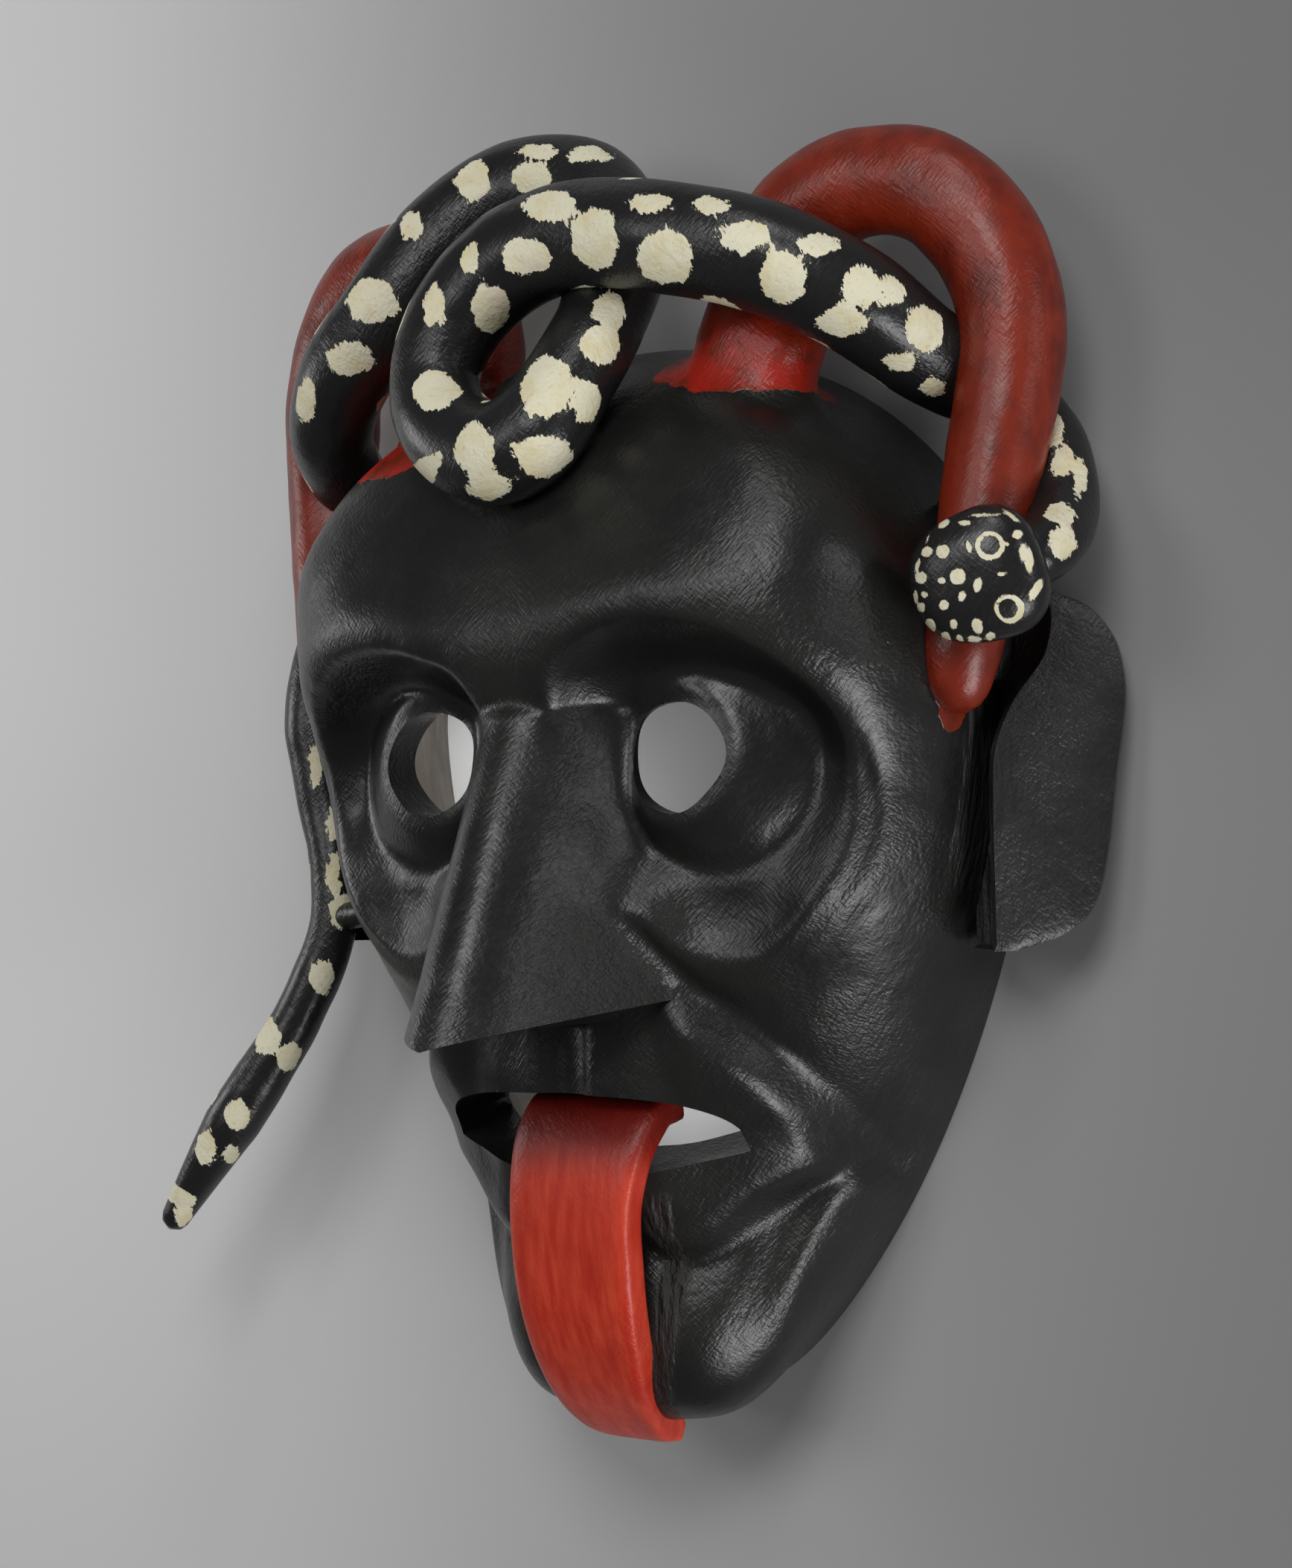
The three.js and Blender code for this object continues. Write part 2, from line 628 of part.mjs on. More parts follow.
// The snake's head: a domed shield, widest behind its middle
function snakeHead() {
  const axis = new THREE.Vector3(...HEAD_AXIS).normalize();
  const out = new THREE.Vector3(...HEAD_TOP);
  out.addScaledVector(axis, -out.dot(axis)).normalize();
  const across = new THREE.Vector3().crossVectors(axis, out);
  const centre = new THREE.Vector3(...HEAD_CENTRE);
  const rings = [];
  for (let k = 0; k <= HEAD_STEPS; k++) {
    const s = -Math.cos(((k + HEAD_END_STEP) / (HEAD_STEPS + 2 * HEAD_END_STEP)) * Math.PI);
    const full = quarter(Math.abs(s), HEAD_SQUARENESS);
    rings.push(
      Array.from({ length: HEAD_SIDES }, (_, i) => {
        const turn = (i / HEAD_SIDES) * 2 * Math.PI;
        const c = Math.cos(turn);
        const d = Math.sin(turn);
        const fit = full * (Math.abs(c) ** HEAD_SQUARENESS + Math.abs(d) ** HEAD_SQUARENESS) ** (-1 / HEAD_SQUARENESS);
        const p = centre.clone().addScaledVector(axis, s * HEAD_HALF.length);
        p.addScaledVector(across, c * fit * (1 - HEAD_TAPER * s) * HEAD_HALF.width);
        p.addScaledVector(out, d * fit * HEAD_HALF.thickness);
        return p.toArray();
      }),
    );
  }
  return loft(rings);
}

// An ear: sections along y, each a slab from the head's wall to the ear's edge, with a channel by the head
function ear(side, share) {
  const rings = [];
  for (let k = 0; k <= EAR_STEPS; k++) {
    const s = -Math.cos((k / EAR_STEPS) * Math.PI);
    const y = mix(EAR_BOTTOM_Y, EAR_TOP_Y, (s + 1) / 2);
    const reach = along(EAR_REACH, y) * share;
    const shift = along(EAR_FRONT_SHIFT, y) * share;
    const edge = { x: EAR_FRONT.x + reach, z: EAR_FRONT.z - EAR_SLOPE * reach };
    const front = { x: EAR_FRONT.x + shift, z: EAR_FRONT.z - EAR_SLOPE * shift };
    const lip = Math.min(1, (reach - shift) / EAR_THICKNESS);
    const ring = [
      [EAR_ROOT_X, Math.max(EAR_LEAST_Z, edge.z - EAR_THICKNESS)],
      [edge.x - EAR_THICKNESS * EAR_BACK.x, Math.max(EAR_LEAST_Z, edge.z - EAR_THICKNESS * EAR_BACK.z)],
      [edge.x - EAR_BEVEL.outer, edge.z - EAR_BEVEL.drop],
      [edge.x, edge.z],
      [edge.x - EAR_BEVEL.inner * lip, edge.z + EAR_BEVEL.drop * lip],
      [front.x + EAR_FOLD.outer * lip, front.z - EAR_FOLD.fall * lip],
      [front.x - EAR_FOLD.inner, front.z - EAR_FOLD.drop],
      [CHANNEL.x + CHANNEL.slope, Math.min(CHANNEL.z, front.z - 2 * EAR_FOLD.fall) + EAR_FOLD.fall],
      [CHANNEL.x, CHANNEL.z],
      [EAR_ROOT_X, CHANNEL.z],
    ];
    rings.push(ring.map(([x, z]) => [side * x, y, z]));
  }
  return loft(rings);
}

const mirror = ([x, y, z]) => [-x, y, z];

function mirrored(path, share) {
  const [rootX, rootY] = path[0];
  return path.map(([x, y, z]) => [-(rootX + (x - rootX) * share), rootY + (y - rootY) * share, z]);
}

// Wood left between two forms: tail and cheek, the snake's loop and the forehead, each horn and its temple
function bridge({ from, to, radius }) {
  return rod([from, to], [radius, radius], BRIDGE_STEPS, BRIDGE_SIDES);
}

function mask() {
  const noWall = { side: 0, top: 0, chin: 0 };
  const wall = { side: WALL_SIDE, top: WALL_TOP, chin: WALL_CHIN };
  const outer = dome(FACE_COLUMNS, FACE_ROWS, noWall, 1, true, 0);
  const hollow = dome(HOLLOW_COLUMNS, HOLLOW_ROWS, wall, HOLLOW_SHARE, false, BELOW_RIM);
  const grown = [
    nose(),
    ear(1, 1),
    ear(-1, LEFT_EAR_SHARE),
    rod(HORN_PATH, HORN_RADII, HORN_STEPS, TUBE_SIDES, HORN_DEPTH_SHARES),
    rod(mirrored(HORN_PATH, LEFT_HORN_SHARE), HORN_RADII, HORN_STEPS, TUBE_SIDES, HORN_DEPTH_SHARES),
    rod(SNAKE_PATH, SNAKE_RADII, SNAKE_STEPS, TUBE_SIDES),
    snakeHead(),
    bridge(STRUT),
    bridge(LOOP_WEB),
    bridge(TEMPLE_WEB),
    bridge({ ...TEMPLE_WEB, from: mirror(TEMPLE_WEB.from), to: mirror(TEMPLE_WEB.to) }),
  ].reduce((whole, piece) => whole.add(piece), outer);
  const cuts = [hollow, eyeHole(1), eyeHole(-1), mouth()];
  return cuts.reduce((whole, piece) => whole.subtract(piece), grown).add(tongue());
}

function named(name, body, material) {
  const { vertProperties, triVerts, numProp } = body.getMesh();
  const positions = new Float32Array((vertProperties.length / numProp) * 3);
  for (let i = 0; i < positions.length / 3; i++) {
    positions.set(vertProperties.subarray(i * numProp, i * numProp + 3), i * 3);
  }
  const geometry = new THREE.BufferGeometry();
  geometry.setAttribute("position", new THREE.BufferAttribute(positions, 3));
  geometry.setIndex(new THREE.BufferAttribute(triVerts, 1));
  geometry.computeVertexNormals();
  const mesh = new THREE.Mesh(geometry, material);
  mesh.name = name;
  return mesh;
}

const blackPaint = new THREE.MeshStandardMaterial({ color: 0x101110, roughness: 0.45, metalness: 0 });

const group = new THREE.Group();
group.add(named("mask", mask(), blackPaint));
group.position.set(-ORIGIN.x, -ORIGIN.y, 0);

export default group;
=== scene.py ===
import math

import bpy
import numpy as np
from mathutils import Matrix, Vector


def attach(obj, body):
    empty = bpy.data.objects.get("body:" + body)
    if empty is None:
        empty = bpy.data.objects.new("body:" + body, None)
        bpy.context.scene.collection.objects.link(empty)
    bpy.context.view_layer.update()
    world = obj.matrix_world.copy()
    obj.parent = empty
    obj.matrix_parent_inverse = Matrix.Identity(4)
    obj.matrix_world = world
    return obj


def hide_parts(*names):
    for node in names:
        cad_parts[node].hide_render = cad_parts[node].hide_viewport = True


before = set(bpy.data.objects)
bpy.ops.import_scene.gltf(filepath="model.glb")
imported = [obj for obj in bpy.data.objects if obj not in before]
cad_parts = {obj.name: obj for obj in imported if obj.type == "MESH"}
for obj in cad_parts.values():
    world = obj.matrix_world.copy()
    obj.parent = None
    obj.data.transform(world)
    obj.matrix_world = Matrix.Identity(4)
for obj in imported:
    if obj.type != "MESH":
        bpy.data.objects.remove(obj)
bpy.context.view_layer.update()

# The part's origin in the face's frame, a millimetre in metres, and a distance too small to keep
ORIGIN = np.array([-11.6, 0.2, 0.0])
MM = 0.001
HAIR = 2e-6

# Rim outline and domed front, as in the solid
FACE_CENTRE_Y = 15
FACE_HALF_WIDTH = 92
FOREHEAD_RISE = 90.5
CHIN_DROP = 168
FACE_RISE = 75
FOREHEAD_SQUARENESS = 1.95
JAW_SQUARENESS = 1.6
MIDLINE = [
    (105.5, 60), (80, 75), (60, 81), (40, 86), (28, 85), (15, 79), (0, 76), (-20, 74), (-45, 68),
    (-72, 68), (-86, 64), (-100, 58), (-115, 59), (-135, 60), (-153, 58),
]
FOREHEAD_ROUNDING = 3.6
CHIN_ROUNDING = 6
SECTION_SQUARENESS = [
    (105.5, 5), (62, 5), (37, 3.4), (10, 3), (-30, 2.9), (-55, 2.3), (-85, 1.7), (-100, 1.9), (-130, 3),
    (-153, 3.4),
]
CHIN_FLARE = 0.08
CHIN_FLARE_ANGLE = 20
CHIN_FLARE_SPREAD = 11
CHIN_FLARE_Z = 42
CHIN_FLARE_RISE = 26
RIM_BLEND = 14
# Wander of the carver's knife over the dome: depth, size of the lumps and seed
KNIFE_WANDER = [(0.35, 17, 1), (0.16, 7, 2)]
WALL_SIDE = 10
WALL_TOP = 13
WALL_CHIN = 17
HOLLOW_SHARE = 0.75
BELOW_RIM = -5
ABOVE_NOSE = 125

# Eye sockets: reach of the socket's edge from its centre at every so many degrees from +x, anticlockwise
SOCKET_CENTRE = (42.5, -4)
SOCKET_REACH = [
    (-180, 40), (-150, 36), (-130, 31), (-116, 30.5), (-97, 36.5), (-79, 39), (-64, 37.2), (-45, 34.5),
    (-28, 34), (6, 33.5), (22, 35), (42, 37.2), (66, 38.8), (92, 40.3), (117, 42.5), (134, 44), (150, 41),
    (165, 40),
]
SOCKET_HALF_HEIGHT = 38
LEFT_SOCKET_DROP = 0.1
SOCKET_DEPTH_BROW = 15
SOCKET_DEPTH_CHEEK = 7
SOCKET_FLOOR_BROW = 0.74
SOCKET_FLOOR_CHEEK = 0.5
BROW_EDGE_POWER = 1.6
LID = {"x": 40.8, "y": 2, "across": 23, "up": 21.5, "bulge": 7.5}
# Ridges and grooves: height or depth, then place and width as shares of the socket, the lid or the hole
BROW_CREST = (2.2, 1.16, 0.22)
SOCKET_GROOVE = (1.6, 1.02, 0.05)
EYE_BAG = (3.5, 1.0, 0.13)
LID_GROOVE = (1.4, 0.98, 0.1)
HOLE_LIP = (0.9, 1.3, 0.2)
EYE_HOLE = {"x": 35, "y": 6, "radius": 12.5, "inner_radius": 14, "inner_z": 20}
# How the holes miss being round: share of the radius, waves round the hole and their shift
EYE_WOBBLE = [(0.025, 3, 1), (0.018, 5, 2)]
EYE_RECESS = {"radius": 13.2, "right_z": 65, "left_z": 57, "inner_radius": 30, "inner_z": 38}

# Nose
NOSE_ROOT = {"y": 22, "z": 82, "half": 20, "base": 63}
NOSE_TIP = {"y": -57, "z": 118, "half": 33.5, "base": 57}
NOSE_WING_RISE = 9
NOSE_RIDGE_SHARE = 0.6
NOSE_BLEND = 7
NOSE_ROOT_FALL = 1.3
NOSE_END_DROP = 70

# Muzzle and lips
MUZZLE_PATH = [(22, -44), (31.8, -48.2), (38, -52.5), (44.9, -59.3), (50, -65.5), (54, -74), (55.8, -88)]
MUZZLE_EDGE = {"height": 4, "inset": 5, "width": 16}
MUZZLE_FOLD = {"depth": 5.6, "width": 12}
CHIN_PATH = [
    (58.5, -86), (56.6, -89.8), (52.5, -97), (48.5, -104.3), (45, -112), (41.7, -120.2), (39, -127.5),
    (36.8, -134.3), (31, -150),
]
CHIN_EDGE = (3.8, 0, 4.5)
CHIN_HOLLOW = (1.8, 9, 5)
LIP_PATH = [(0, -92), (30, -92), (50, -88)]
LIP_SWELL = (2, 0, 5.5)
LIP_CREASE_PATH = [
    (0, -101.5), (19.8, -100.5), (28.5, -98.5), (36.5, -96), (44.1, -93.3), (51.6, -89.5), (57, -85),
]
LIP_CREASE = {"over": 3, "over_width": 8, "under": 4.5, "under_width": 9}
PHILTRUM = {"x": 1.5, "half": 7.2, "depth": 3.2, "squareness": 2.5}
MOUTH = {
    "half": 44, "inner_half": 38, "corner_y": -84, "top_y": -71, "lower_y": -92, "inner_lower_y": -78,
    "inner_z": 30, "lip_z": 66, "upper_squareness": 2.7,
}
MOUTH_LEVELS = [30, 48, 57, 66, 75, 90]

# Tongue
TONGUE_X = 4
TONGUE_HALF_WIDTH = 18.5
TONGUE_RIGHT = [(-78, 18.5), (-86, 17), (-98, 15), (-113, 14.5), (-130, 12.5), (-147, 7.5), (-156, 4.5)]
TONGUE_HALF_THICKNESS = 4.5
TONGUE_SQUARENESS = 6
TONGUE_TIP_SHARE = 0.6
TONGUE_PATH = [
    (-74.5, 49), (-76, 56), (-83, 62), (-94, 64.5), (-109, 64), (-124, 60.5), (-138, 53), (-149, 42),
    (-155, 31),
]

# Horns and snake: centrelines and radii
HORN_PATH = [
    (40, 68, 40), (41.5, 84, 43), (43, 96, 42), (42, 108, 38), (45, 121, 36), (53, 131, 34), (66, 136, 32),
    (82, 133, 30), (94, 121, 28), (100, 105, 27), (100, 88, 28), (97, 66, 32), (94, 43, 36), (91.5, 27, 38),
    (91, 14, 38),
]
HORN_RADII = [20, 20.5, 17, 13.3, 12.3, 12.5, 12.5, 12.5, 12.5, 12.3, 12, 11, 10, 9, 6]
HORN_DEPTH_SHARES = [0.6, 0.65, 0.75, 0.92, 1, 1, 1, 1, 1, 1, 1, 1, 1, 1, 1]
LEFT_HORN_SHARE = 0.93
HORN_WANDER = 0.35
SNAKE_PATH = [
    (108, 45, 46), (112, 51, 34), (109, 60, 22), (102, 75, 15), (92, 86, 16), (82, 95, 32), (72, 107, 50),
    (57, 116, 60), (36, 122, 66), (11, 126, 66), (-8, 122, 67), (-22, 110, 70), (-26, 95, 74), (-18, 82, 78),
    (-4, 76, 80), (6, 80, 79), (11, 93, 71), (11, 108, 58), (6, 128, 43), (-8, 143, 36), (-26, 145, 39),
    (-42, 134, 48), (-56, 115, 55), (-70, 102, 54), (-81, 89, 46), (-86, 76, 30), (-90, 65, 17),
    (-99, 52, 17), (-104, 36, 24), (-105, 18, 28), (-102, 0, 28), (-98, -18, 29), (-97, -35, 31),
    (-105, -58, 36), (-122, -86, 44), (-141, -114, 48),
]
SNAKE_RADII = [
    7, 7.5, 8.5, 9, 9.5, 11, 12, 12.5, 12.5, 12.5, 12.5, 11.5, 10.5, 11.5, 12, 11.5, 10.5, 10.5, 12, 12.5,
    12.5, 12, 12, 11.5, 10.5, 9.5, 8.5, 8, 7.5, 7.2, 7, 6.5, 6.2, 6.6, 7.4, 3.4,
]
SNAKE_WANDER = 0.25
HEAD_CENTRE = np.array([102.5, 43, 50.0])
HEAD_AXIS = np.array([-0.9, -0.3, 0.3])
HEAD_TOP = np.array([0.45, 0, 0.9])
HEAD_TAPER = 0.12
HEAD_SQUARENESS = 2.5
HEAD_HALF = {"length": 14.8, "width": 14.4, "thickness": 9.5}
# Where the wood stays whole between pieces: two ends and a radius
STRUT = ((-97, -33, 31), (-80, -31, 34), 3.5)
TEMPLE_WEB = ((85, 68, 18), (87, 16, 22), 9)
LOOP_WEB = ((-8, 84, 70), (-6, 100, 40), 9)

# Ears
EAR_FRONT = {"x": 95, "z": 33}
EAR_SLOPE = 1.14
EAR_TOP_Y = 41
EAR_BOTTOM_Y = -39
EAR_REACH = [
    (41, 11), (38, 16), (32, 19.8), (26, 21.4), (17, 22), (0, 20.3), (-18, 18.6), (-30, 16), (-36, 11),
    (-39, 4),
]
EAR_FRONT_SHIFT = [(41, 9.6), (33, 9.6), (26, 8.2), (17, 3.6), (8, 0.8), (0, 0), (-39, 0)]
EAR_THICKNESS = 8
EAR_ROOT_X = 84
CHANNEL = {"x": 90, "z": 19}
LEFT_EAR_SHARE = 0.92

# Painted spots on the snake: how far along it and how many degrees round it each lies, then the two half-axes
# of the spot, each as a step along the snake and a step round it
SNAKE_SPOTS = [
    (10, 311, 2.9, 1.7, -1.6, 2.9), (13.3, 19, 1.2, -1, -0.8, 0.7), (15, 270, 1.9, 2.8, -3.2, 1.6),
    (30, 285, 1, 1.6, -7.5, -0.1), (35, 259, -0.2, 3, -5.2, -0.5), (45, 259, -0.7, 2.3, -4.6, -1.6),
    (83.3, 199, -1.8, 1.6, -1.6, -2.2), (93.3, 202, -2.5, 2.3, -1.8, -1.9),
    (93.3, 251, -4.3, 3, -2.7, -4.3), (103.3, 262, -2, 1.8, -1.1, -3.3),
    (108.3, 202, -4.5, 3.6, -1.6, -3.2), (108.3, 247, -2.9, 2.3, -1.6, -4.1),
    (118.3, 266, -3.4, 2.5, -0.9, -2.8), (121.6, 217, -4.2, 2, -2, -5.7), (131.6, 244, -4.8, 1.6, -1, -3.5),
    (139.9, 270, -3.7, 1, -0.8, -2.4), (146.6, 206, -6.1, 0.9, 0.1, -6.5),
    (151.6, 262, -4.6, 0.8, -1, -2.7), (161.6, 308, 2.4, 0, 0, 2.4), (163.3, 217, -6.4, 0.4, 0.1, -7.3),
    (176.6, 255, -7.3, -1.4, -1.1, -4.6), (184.9, 206, -7.3, -1.9, 2.1, -3.9),
    (199.9, 236, -1.9, -1.5, 2, -3.4), (204.9, 176, -4.2, -3.5, 6, -4.3),
    (206.6, 289, -2.8, 0.5, 3.4, -0.6), (214.9, 232, -1.6, -2.7, 4.6, -2.9), (243.2, 214, 4, -5, 7.1, 2.3),
    (251.5, 308, 5.7, -4.9, -2.8, 7), (264.9, 259, 4.3, 1.1, -0.9, 6.2), (264.9, 308, 2.8, 1.7, -1.7, 4.2),
    (273.2, 315, 2.3, 5.5, -1.6, 4.2), (281.5, 259, 2.2, 5.4, -5.8, 4.1), (283.2, 315, 2, 3.2, -3.3, 3.1),
    (294.9, 292, 2.9, 3.9, -3.9, 2.5), (303.2, 281, 2.4, 3.4, -5.1, 2), (304.9, 191, 0.9, 1, -3.1, -3.3),
    (354.8, 255, -3.1, 4.2, -2.3, -1.9), (366.5, 202, -7.5, 0.1, -0.4, -4.3),
    (366.5, 236, -5.3, 0.1, -0.9, -2.6), (384.8, 225, -3.4, -2.6, 2.7, -5.4),
    (401.5, 232, -1.7, -2.9, 2.5, -3.4), (419.8, 217, -3.2, -6, 3.5, -3.6),
    (431.5, 195, -3.5, -4.8, 2.8, -2.4), (446.4, 221, -2.1, -3.2, 4.3, -2), (564.7, 195, 0.4, -1.8, 5.1, 1),
    (581.4, 180, 0.2, -1.6, 4.5, 0.8), (594.7, 191, 0.1, -1.8, 5, 0.3), (603, 169, -0.3, -3.6, 4, -0.4),
    (619.7, 176, -1, -2.9, 4.5, -1.9), (639.7, 244, -2.5, -4.8, 3.8, -4.5),
    (641.4, 161, -1.4, -3.3, 3.4, -2.3), (661.3, 188, -1.9, -3.1, 3.4, -2.2),
    (671.3, 146, -0.5, -2.6, 2.9, -2), (673, 214, -1.9, -2.7, 4.1, -2.8),
    (689.7, 266, -3.7, -6.5, -0.5, -7.5), (693, 165, -1, -2.5, 3.3, -1.8),
]
# Dots on its head: place along and across the head, half-length, half-width and turn in degrees
HEAD_DOTS = [
    (2.7, 13.1, 1.4, 1.1, 0), (-1.9, 11.5, 1.5, 0.7, 18), (-6.1, 11.7, 3.1, 0.4, 18),
    (-11.5, 9.5, 1.9, 0.4, 56), (6.9, 11.1, 1.1, 0.3, 124), (7.7, 8.3, 1.4, 1.2, 18),
    (4.3, 7.3, 1.5, 1.5, 27), (-1.3, 6.1, 1.7, 0.7, 90), (-9.1, 4.1, 0.6, 0.6, 34),
    (-11.7, 5.3, 1.1, 1.1, 18), (-11.5, 1.1, 2.3, 0.8, 108), (-12.1, -1.1, 2.7, 0.9, 104),
    (10.7, 6.3, 1.4, 0.6, 124), (10.7, 3.5, 1.5, 1.4, 14), (6.5, 1.3, 1.1, 0.8, 14),
    (2.9, 0.9, 1.8, 1.8, 14), (-0.5, -2.1, 1.7, 1, 124), (-6.1, -1.7, 1, 0.5, 18),
    (13.5, 0.1, 1.3, 0.6, 108), (11.3, -0.1, 0.9, 0.7, 27), (13.1, -2.3, 1.1, 1, 124),
    (7.9, -3.7, 1.1, 1.1, 14), (3.3, -3.3, 1.3, 0.8, 135), (13.3, -6.9, 2.1, 1.5, 153),
    (7.3, -8.1, 1.1, 0.9, 108), (10.3, -9.9, 1.1, 1, 14), (7.5, -11.3, 1, 0.8, 34),
    (2.7, -10.3, 1.7, 1.2, 104), (4.7, -12.5, 1.5, 0.7, 18), (1.1, -13.1, 1.2, 0.8, 166),
    (-11.3, -7.3, 2.5, 0.8, 135),
]
HEAD_EYES = [(-5.7, 4.9), (-4.9, -9.1)]
HEAD_EYE_RING = (2.55, 0.6)
# Spots on the sides that the photograph hides: from one end to the other by a step, round by a turn, each
# moved along and round a little, its half-axes as shares of the snake's radius, and the gap that it keeps
HIDDEN_SPOTS = {
    "seed": 7, "first": 14, "last": 10, "step": 9.5, "turn": 60, "moved": 3, "turned": 25,
    "length": (0.3, 0.5), "width": (0.22, 0.4), "gap": 1.5, "from_end": 4,
}

# How far the red runs beyond the horns, and how low in front of the right one's root
RED_BEYOND_RIGHT_ROOT = 4
RED_BEYOND_LEFT_ROOT = 8
RED_BEYOND_HORN = -1.2
RED_LOWEST = (88, 108)
# Layers of paint hold millimetres inside the paint's edge, and this where there is none near
NO_PAINT = -10.0

# Creases at the horns' roots that the carver blended in: place and reach
ROOT_CREASES = [
    (30, 88, 46, 15), (44, 87, 48, 16), (57, 86, 42, 14), (-36, 88, 46, 15), (-52, 86, 42, 14),
]
CREASE_ROUNDS = 40
CREASE_PULL = 0.6

# Fineness: columns and rows of the domes, steps along the rods and sides round them
FACE_GRID = (205, 270)
HOLLOW_GRID = (50, 64)
HORN_GRID = (120, 30)
SNAKE_GRID = (420, 32)
TONGUE_GRID = (110, 44)
HEAD_GRID = (96, 108)
WEB_GRID = (10, 16)
NOSE_GRID = (60, 56)
EYE_SIDES = 72
MOUTH_SIDES = 60
EAR_STEPS = 64
SHARPEST = math.radians(40)

# Stage: the camera's turn to the right, its roll, its distance in metres, millimetres to a pixel of the
# photograph, the point it aims at in the face's frame, and half the floor in metres
CAMERA_TURN = math.radians(34)
CAMERA_ROLL = math.radians(1.3)
CAMERA_DISTANCE = 0.7
CAMERA_SCALE = 0.18
PHOTO_HEIGHT = 2107
SENSOR = 36
AIM = np.array([0, 0, 28.0])
FLOOR_HALF = 4
TO_CAMERA = np.array([math.sin(CAMERA_TURN), 0, math.cos(CAMERA_TURN)])

# Labels of the mesh's faces, by the piece that each came from
FACE, HOLLOW, HORN, SNAKE, HEAD, EAR, TONGUE, NOSE, CUT, WEB = range(1, 11)


def smoothstep(low, high, v):
    t = np.clip((v - low) / (high - low), 0, 1)
    return t * t * (3 - 2 * t)


def mix(a, b, t):
    return a + (b - a) * t


def bell(d):
    return np.exp(-d * d)


def swell(form, at):
    """The height at a place across a ridge of the given height, middle and width."""
    height, middle, width = form
    return height * bell((at - middle) / width)


def curve_shares(t):
    """What the start, the slope there, the end and the slope there count for at t along a smooth curve."""
    return 2 * t**3 - 3 * t**2 + 1, t**3 - 2 * t**2 + t, 3 * t**2 - 2 * t**3, t**3 - t**2


def along(stations, y):
    """Smooth value at y from stations (y, value) given from high y to low."""
    knots = np.array(stations, float)[::-1]
    at, value = knots[:, 0], knots[:, 1]
    ahead = np.minimum(np.arange(len(at)) + 1, len(at) - 1)
    behind = np.maximum(np.arange(len(at)) - 1, 0)
    slope = (value[ahead] - value[behind]) / (at[ahead] - at[behind])
    y = np.clip(y, at[0], at[-1])
    i = np.clip(np.searchsorted(at, y, side="right") - 1, 0, len(at) - 2)
    h = at[i + 1] - at[i]
    here, leaving, there, arriving = curve_shares((y - at[i]) / h)
    return here * value[i] + leaving * h * slope[i] + there * value[i + 1] + arriving * h * slope[i + 1]


def legs(path, x, y):
    """For each leg of a path, the distance to it, and a value above nought on its left-hand side."""
    for (ax, ay), (bx, by) in zip(path, path[1:]):
        length2 = (bx - ax) ** 2 + (by - ay) ** 2
        t = np.clip(((x - ax) * (bx - ax) + (y - ay) * (by - ay)) / length2, 0, 1)
        gone = np.hypot(x - ax - t * (bx - ax), y - ay - t * (by - ay))
        yield gone, (bx - ax) * (y - ay) - (by - ay) * (x - ax)


def distance_to(path, x, y):
    return np.minimum.reduce([gone for gone, _ in legs(path, x, y)])


def beside(path, x, y):
    """Distance from a path, positive on its right-hand side."""
    best = np.full(np.shape(x), 1e9)
    for gone, turned in legs(path, x, y):
        nearer = gone < np.abs(best) - 1e-9
        best = np.where(nearer, np.where(turned > 0, -gone, gone), best)
    return best


def quarter(t, power):
    """From 1 at nought to 0 at one along a rounded corner, squarer as the power grows."""
    return (1 - np.clip(t, 0, 1) ** power) ** (1 / power)


def noise(p, size, seed=0):
    """Smooth noise from -1 to 1 whose lumps are size across, at points p."""
    q = np.asarray(p, float) / size + 100.5
    cell = np.floor(q).astype(np.int64)
    f = q - cell
    f = f * f * (3 - 2 * f)
    total = 0
    for corner in range(8):
        step = np.array([corner & 1, corner >> 1 & 1, corner >> 2 & 1])
        c = cell + step
        n = c[..., 0] * 73856093 ^ c[..., 1] * 19349663 ^ c[..., 2] * 83492791 ^ (seed * 2654435761 + 12345)
        n = (n ^ n >> 13) * 1274126177 & 0x7FFFFFFF
        n = (n ^ n >> 15) * 668265263 & 0x7FFFFFFF
        weight = np.prod(np.where(step, f, 1 - f), -1)
        total = total + weight * (n / 0x3FFFFFFF - 1)
    return total


def dome_height(x, y, wall, share):
    """Height of the domed front, or of the hollow behind it, where the wall takes its part of each reach."""
    drop = y - FACE_CENTRE_Y
    above = drop >= 0
    t = np.abs(drop) / np.where(above, FOREHEAD_RISE - wall[1], CHIN_DROP - wall[2])
    outline = np.where(above, quarter(t, FOREHEAD_SQUARENESS), quarter(t, JAW_SQUARENESS))
    half = (FACE_HALF_WIDTH - wall[0]) * outline
    end = np.where(above, quarter(t, FOREHEAD_ROUNDING), quarter(t, CHIN_ROUNDING))
    section = quarter(np.abs(x) / np.maximum(half, 1e-6), along(SECTION_SQUARENESS, y))
    return np.where(half < 1e-6, 0, share * along(MIDLINE, y) * end * section)


def socket_share(ax, y, left):
    """Distance from the socket's centre as a share of its reach that way, which is less up the left one."""
    dx, dy = ax - SOCKET_CENTRE[0], y - SOCKET_CENTRE[1]
    angle = np.degrees(np.arctan2(dy, dx))
    knots = sorted(SOCKET_REACH)
    knots = [(a - 360, r) for a, r in knots[-2:]] + knots + [(a + 360, r) for a, r in knots[:2]]
    upward = np.maximum(np.sin(np.radians(angle)), 0)
    reach = along(knots[::-1], angle) * (1 - LEFT_SOCKET_DROP * left * upward)
    return np.hypot(dx, dy) / reach


